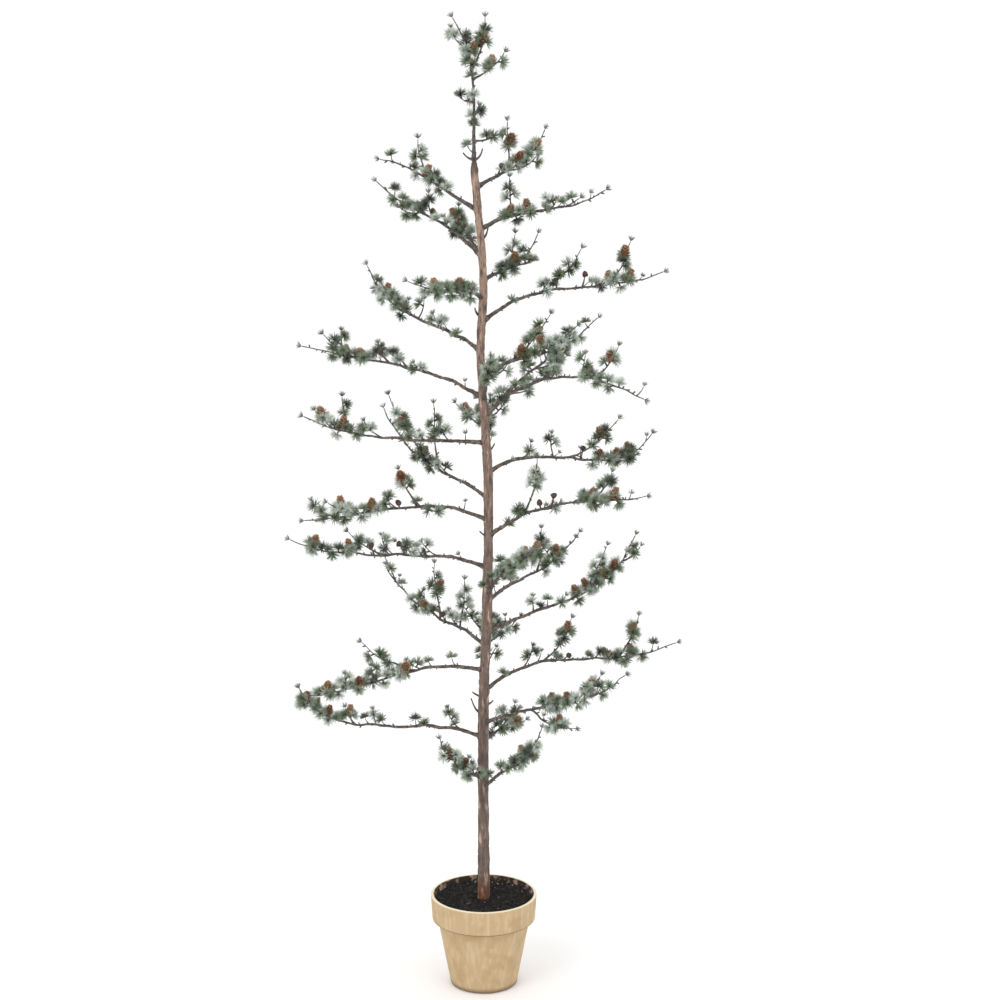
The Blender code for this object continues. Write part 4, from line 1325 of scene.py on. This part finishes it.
@dataclass
class Woodwork:
    """The limbs, stems, twigs and spurs, with their bark."""

    growth: Growth
    limb_ring: float = 0.0032
    stem_ring: float = 0.0045
    limb_sides: int = 14
    stem_sides: int = 9
    root_swell: float = 0.45
    swell_length: float = 0.010
    rooted_below: float = 0.10
    knob: float = 0.24
    knob_size: float = 0.0055
    crease: float = 0.12
    crease_size: float = 0.0018
    seed: int = 31

    def stem_shape(self, stem: Stem, ring: float, sides: int) -> Shape:
        """Carry a knobbly tapering ring along a stem, swollen at its root.

        Args:
            stem: The stem.
            ring: The distance between rings.
            sides: The number of sides.

        Returns:
            The closed stem.
        """
        span = stem.path.length * (stem.last - stem.first)
        count = max(4, round(span / ring))
        steps = np.linspace(0, 1, count + 1)
        shares = between(stem.first, stem.last, steps)
        radii = between(stem.first_radius, stem.last_radius, steps)
        if stem.first < self.rooted_below:
            radii = radii * (1 + self.root_swell * np.exp(-steps * span / self.swell_length))
        plain = tube(stem.path, shares, np.repeat(radii[:, None], sides, axis=1))
        knobs = 1 + self.knob * lumps(plain, self.knob_size, self.seed)
        knobs = knobs + self.crease * lumps(plain, self.crease_size, self.seed + 1)
        rows = tube(stem.path, shares, radii[:, None] * knobs)
        rows = rows + sway(stem.path.at(shares))[:, None]
        end = stem.path.at(stem.last)
        tip = end + sway(end[None])[0] + stem.path.direction(stem.last) * stem.last_radius
        return skin(rows, tip=tip)

    def spur_shape(self) -> Shape:
        """Make one stubby spur, 1 long: three rings that narrow, bulge and round off."""
        stations = ((0.0, 0.30), (0.50, 0.20), (0.82, 0.27))
        rows = np.stack([spokes_of(6) * girth + UP * height for height, girth in stations])
        return skin(rows, tip=UP)

    def build(self) -> None:
        """Make the limbs, then the stems and twigs, then the spurs."""
        growth = self.growth
        limbs = [self.stem_shape(stem, self.limb_ring, self.limb_sides) for stem in growth.limbs]
        Piece("bark_limbs", joined(limbs), [LIMB.material()], Slot.BARK, LIMB_NODES).build()
        stems = [self.stem_shape(stem, self.stem_ring, self.stem_sides) for stem in growth.stems]
        twig = TWIG.material()
        Piece("twigs", joined(stems), [twig], Slot.FOLIAGE, MASS_NODES).build()
        places, outs, sizes = gathered(growth.spurs)
        axes = axes_along(outs, np.arange(len(outs)) * 1.0) * sizes[:, None, None]
        Piece("spurs", strewn(self.spur_shape(), places, axes), [twig], Slot.FOLIAGE).build()


@dataclass
class Needles:
    """The needles: single slim spindles in tufts and tip rosettes, dealt out by tint."""

    growth: Growth
    per_tuft: int = 78
    per_rosette: int = 20
    width: float = 0.00072
    widest: float = 0.45
    bow: float = 0.7
    tuft_cone: tuple[float, float] = (4, 94)
    rosette_cone: tuple[float, float] = (4, 46)
    unevenness: float = 0.3
    shortest: float = 0.78
    stand_off: float = 0.001
    seed: int = 17
    deal: tuple[tuple[Tint, float], ...] = (
        (Tint.SAGE, 0.32), (Tint.MOSS, 0.22), (Tint.FROSTED, 0.32), (Tint.DEEP, 0.14))

    def needle(self) -> Shape:
        """Make one needle, 1 long and 1 in half width: a bowed spindle on a three-sided ring."""
        widest = UP * self.widest + np.array((self.bow, 0.0, 0.0))
        return skin((spokes_of(3) + widest)[None], foot=UP * 0, tip=UP)

    def whorls(self, sprouts: list[Sprout], count: int, cone: tuple[float, float],
               dice: np.random.Generator) -> Shape:
        """Fan needles out of each sprout.

        The needle's angle from the sprout's own direction spreads evenly over the ball between
        the two angles of the cone, and each is a golden turn round from the one before.

        Args:
            sprouts: What the needles grow from.
            count: Needles to a sprout.
            cone: Smallest and largest angle from the sprout's direction, in degrees.
            dice: The generator of the draws.

        Returns:
            All their needles as one shape.
        """
        total = len(sprouts) * count
        feet, outs, reach = (np.repeat(part, count, axis=0) for part in gathered(sprouts))
        high, low = np.cos(np.radians(cone))
        slope = high + (low - high) * dice.uniform(0, 1, total)
        uneven = dice.uniform(-self.unevenness, self.unevenness, total)
        turn = np.radians(np.arange(total) * GOLDEN_TURN) + uneven
        frames = axes_along(outs, turn)
        flat = np.sqrt(1 - slope**2)
        runs = frames[:, 0] * flat[:, None] + frames[:, 2] * slope[:, None]
        lengths = reach * dice.uniform(self.shortest, 1.0, total)
        scale = np.stack((np.full(total, self.width), np.full(total, self.width), lengths), 1)
        axes = axes_along(runs, dice.uniform(0, 2 * math.pi, total)) * scale[:, :, None]
        return strewn(self.needle(), feet + outs * self.stand_off, axes)

    def build(self) -> None:
        """Deal the tufts out among the tints, then make each tint's needles and the tips'."""
        dice = np.random.default_rng(self.seed)
        tints = [tint for tint, _ in self.deal]
        odds = [share for _, share in self.deal]
        picks = dice.choice(len(tints), len(self.growth.tufts), p=odds)
        for number, tint in enumerate(tints):
            tufts = [tuft for tuft, pick in zip(self.growth.tufts, picks) if pick == number]
            shape = self.whorls(tufts, self.per_tuft, self.tuft_cone, dice)
            name = "needles_" + tint.name.lower()
            Piece(name, shape, [needle_finish(tint)], Slot.FOLIAGE, MASS_NODES).build()
        rosettes = self.growth.rosettes
        shape = self.whorls(rosettes, self.per_rosette, self.rosette_cone, dice)
        Piece("needles_tip", shape, [needle_finish(Tint.TIP)], Slot.FOLIAGE, MASS_NODES).build()


@dataclass
class Cones:
    """The cones: overlapping spoon-shaped scales on an egg-shaped core, and small closed ones."""

    growth: Growth
    girth: float = 0.33
    core_share: float = 0.68
    lift: float = 0.002
    scales: int = 46
    tilt: tuple[float, float] = (58, 4)
    highest: float = 0.80
    seat: float = 0.52
    scale_size: tuple[float, float] = (0.30, 0.24)
    highlight_from: float = 0.74
    tan_share: float = 0.38
    ball_length: float = 0.0114
    ball_girth: float = 0.48
    seed: int = 23

    def egg(self, share: np.ndarray) -> np.ndarray:
        """Give an egg's radius along its axis, 1 at its widest, a little below the middle."""
        return np.sqrt(np.clip(1 - ((share - 0.42) / 0.58) ** 2, 0, 1)) * (1.08 - 0.30 * share)

    def egg_shape(self, girth: float) -> Shape:
        """Make an egg, 1 long."""
        heights = np.linspace(0.04, 0.96, 6)
        radii = self.egg(heights)[:, None, None] * girth
        rows = spokes_of(8)[None] * radii + heights[:, None, None] * UP
        return skin(rows, foot=UP * 0, tip=UP)

    def scale_shape(self) -> Shape:
        """Make one scale, 1 long: a thin spoon that widens, turns out and rounds off.

        A station is a row's height, its step outward and its half width. Each row has four
        corners, two at its sides and two on its faces. The rim takes the second material, a painted
        highlight.

        Returns:
            The scale.
        """
        stations = ((0.0, 0.0, 0.22), (0.55, 0.04, 0.44), (0.88, 0.20, 0.38))
        rows = [
            np.array((0.0, outward, height))
            + np.array(((half, -0.05, 0), (0, 0.09, 0), (-half, -0.05, 0), (0, 0.01, 0)))
            for height, outward, half in stations
        ]
        shape = skin(np.stack(rows), tip=np.array((0.0, 0.30, 1.0)))
        reach = shape.points[shape.triangles][..., 2].mean(axis=1)
        return Shape(shape.points, shape.triangles, (reach > self.highlight_from).astype(np.int32))

    def tanned(self, part: Shape, tan: np.ndarray) -> Shape:
        """Give some cones the tan body instead of the russet one; their rims of painted highlight stay.

        Args:
            part: The same part of every cone, one cone after another.
            tan: Whether each cone is a tan one.

        Returns:
            The part with its new material numbers.
        """
        body = np.repeat(np.where(tan, 2, 0), len(part.finish) // len(tan))
        return Shape(part.points, part.triangles, np.where(part.finish == 0, body, part.finish))

    def build(self) -> None:
        """Make all the cones' scales and cores as one piece, and the small ones as another."""
        dice = np.random.default_rng(self.seed)
        growth = self.growth
        cones = [Sprout(cone.foot + cone.out * self.lift, cone.out, cone.size)
                 for cone in growth.cones]
        feet, outs, sizes = gathered(cones)
        frames = axes_along(outs, dice.uniform(0, 2 * math.pi, len(outs)))
        core = self.egg_shape(self.girth * self.core_share)
        core = strewn(core, feet, frames * sizes[:, None, None])
        share = (np.arange(self.scales) + 0.5) / self.scales
        turn = np.radians(np.arange(self.scales) * GOLDEN_TURN)
        spokes = np.stack((np.cos(turn), np.sin(turn), np.zeros(self.scales)), 1)
        rounds = np.stack((-np.sin(turn), np.cos(turn), np.zeros(self.scales)), 1)
        tilt = np.radians(between(*self.tilt, share))[:, None]
        rise = UP * np.cos(tilt) + spokes * np.sin(tilt)
        fronts = np.cross(rise, rounds)
        height = (share * self.highest)[:, None]
        spots = spokes * self.egg(height) * self.girth * self.seat + UP * height
        size = between(*self.scale_size, share)[:, None]
        local = np.stack((-rounds * size, -fronts * size, rise * size), axis=1)
        local[:, 1] *= np.sign(np.einsum("nj,nj->n", local[:, 1], spokes))[:, None]
        local[:, 0] = np.cross(local[:, 1], local[:, 2]) / size
        places = feet[:, None] + np.einsum("sk,ckj->csj", spots, frames) * sizes[:, None, None]
        axes = np.einsum("sak,ckj->csaj", local, frames) * sizes[:, None, None, None]
        scales = strewn(self.scale_shape(), places.reshape(-1, 3), axes.reshape(-1, 3, 3))
        tan = dice.uniform(size=len(outs)) < self.tan_share
        parts = [self.tanned(part, tan) for part in (core, scales)]
        finishes = [SCALE.material(), SCALE_HIGHLIGHT.material(), TAN_SCALE.material()]
        Piece("cones", joined(parts), finishes, Slot.FOLIAGE).build()
        balls = np.array(growth.balls)
        balls = balls + sway(balls)
        runs = axes_along(unit(dice.normal(size=(len(balls), 3)) + UP * 2), np.zeros(len(balls)))
        size = self.ball_length
        closed = strewn(self.egg_shape(self.ball_girth), balls - runs[:, 2] * size / 2, runs * size)
        Piece("closed_cones", closed, [BALL.material()], Slot.FOLIAGE).build()


class Lamp(NamedTuple):
    """A square soft light: its name, place, side in metres and power in watts."""

    name: str
    place: tuple[float, float, float]
    size: float
    power: float


LAMPS = (
    Lamp("key", (-2.2, -2.8, 3.4), 2.2, 45),
    Lamp("fill", (2.6, -2.4, 2.0), 2.4, 14),
)


@dataclass
class Studio:
    """A pale floor, soft light from above and both sides, and the photograph's camera."""

    distance: float = 4.2
    camera_height: float = 1.85
    camera_right: float = 0.0305
    pitch: float = 12.36
    lens: float = 85.6
    sensor: float = 36.0
    floor_size: float = 400.0
    floor_level: float = -0.001
    crown_middle: float = 0.95
    world: float = 1.08

    def build_camera(self) -> None:
        """Set up the camera."""
        lens = bpy.data.cameras.new("camera")
        lens.lens = self.lens
        lens.sensor_width = self.sensor
        camera = bpy.data.objects.new("camera", lens)
        camera.location = (self.camera_right, -self.distance, self.camera_height)
        camera.rotation_euler = (math.radians(90 - self.pitch), 0, 0)
        bpy.context.scene.collection.objects.link(camera)
        bpy.context.scene.camera = camera

    def build_light(self, lamp: Lamp) -> None:
        """Add a square soft light that looks at the crown's middle."""
        source = bpy.data.lights.new(lamp.name, "AREA")
        source.size = lamp.size
        source.energy = lamp.power
        light = bpy.data.objects.new(lamp.name, source)
        away = unit(np.array((lamp.place,)) - (0, 0, self.crown_middle))
        turned = np.eye(4)
        turned[:3, :3] = axes_along(away, np.zeros(1))[0].T
        turned[:3, 3] = lamp.place
        light.matrix_world = turned.T
        bpy.context.scene.collection.objects.link(light)

    def build_floor(self) -> None:
        """Lay the pale floor."""
        half = self.floor_size / 2
        signs = ((-1, -1), (1, -1), (1, 1), (-1, 1))
        corners = [(right * half, back * half, self.floor_level) for right, back in signs]
        mesh = bpy.data.meshes.new("floor")
        mesh.from_pydata(corners, [], [(0, 1, 2, 3)])
        paint = bpy.data.materials.new("matt_white_floor_paint")
        paint.use_nodes = True
        shader = paint.node_tree.nodes["Principled BSDF"]
        shader.inputs["Base Color"].default_value = linear("#fafafa")
        shader.inputs["Roughness"].default_value = 0.9
        mesh.materials.append(paint)
        floor = bpy.data.objects.new("floor", mesh)
        bpy.context.scene.collection.objects.link(floor)

    def build(self) -> None:
        """Set up the camera, the floor, the white surroundings and the lights."""
        scene = bpy.context.scene
        self.build_camera()
        self.build_floor()
        world = bpy.data.worlds.new("white_studio")
        world.use_nodes = True
        backdrop = world.node_tree.nodes["Background"]
        backdrop.inputs["Color"].default_value = (1, 1, 1, 1)
        backdrop.inputs["Strength"].default_value = self.world
        scene.world = world
        scene.view_settings.view_transform = "Standard"
        for lamp in LAMPS:
            self.build_light(lamp)


def main() -> None:
    """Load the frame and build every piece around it."""
    logging.basicConfig(level=logging.INFO, format="%(name)s %(message)s")
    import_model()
    Studio().build()
    pot = ClayPot()
    pot.build()
    PottingFill().build(pot)
    trunk = Trunk()
    trunk.build()
    growth = Growth(trunk)
    growth.grow()
    Woodwork(growth).build()
    Needles(growth).build()
    Cones(growth).build()


if __name__ == "__main__":
    main()
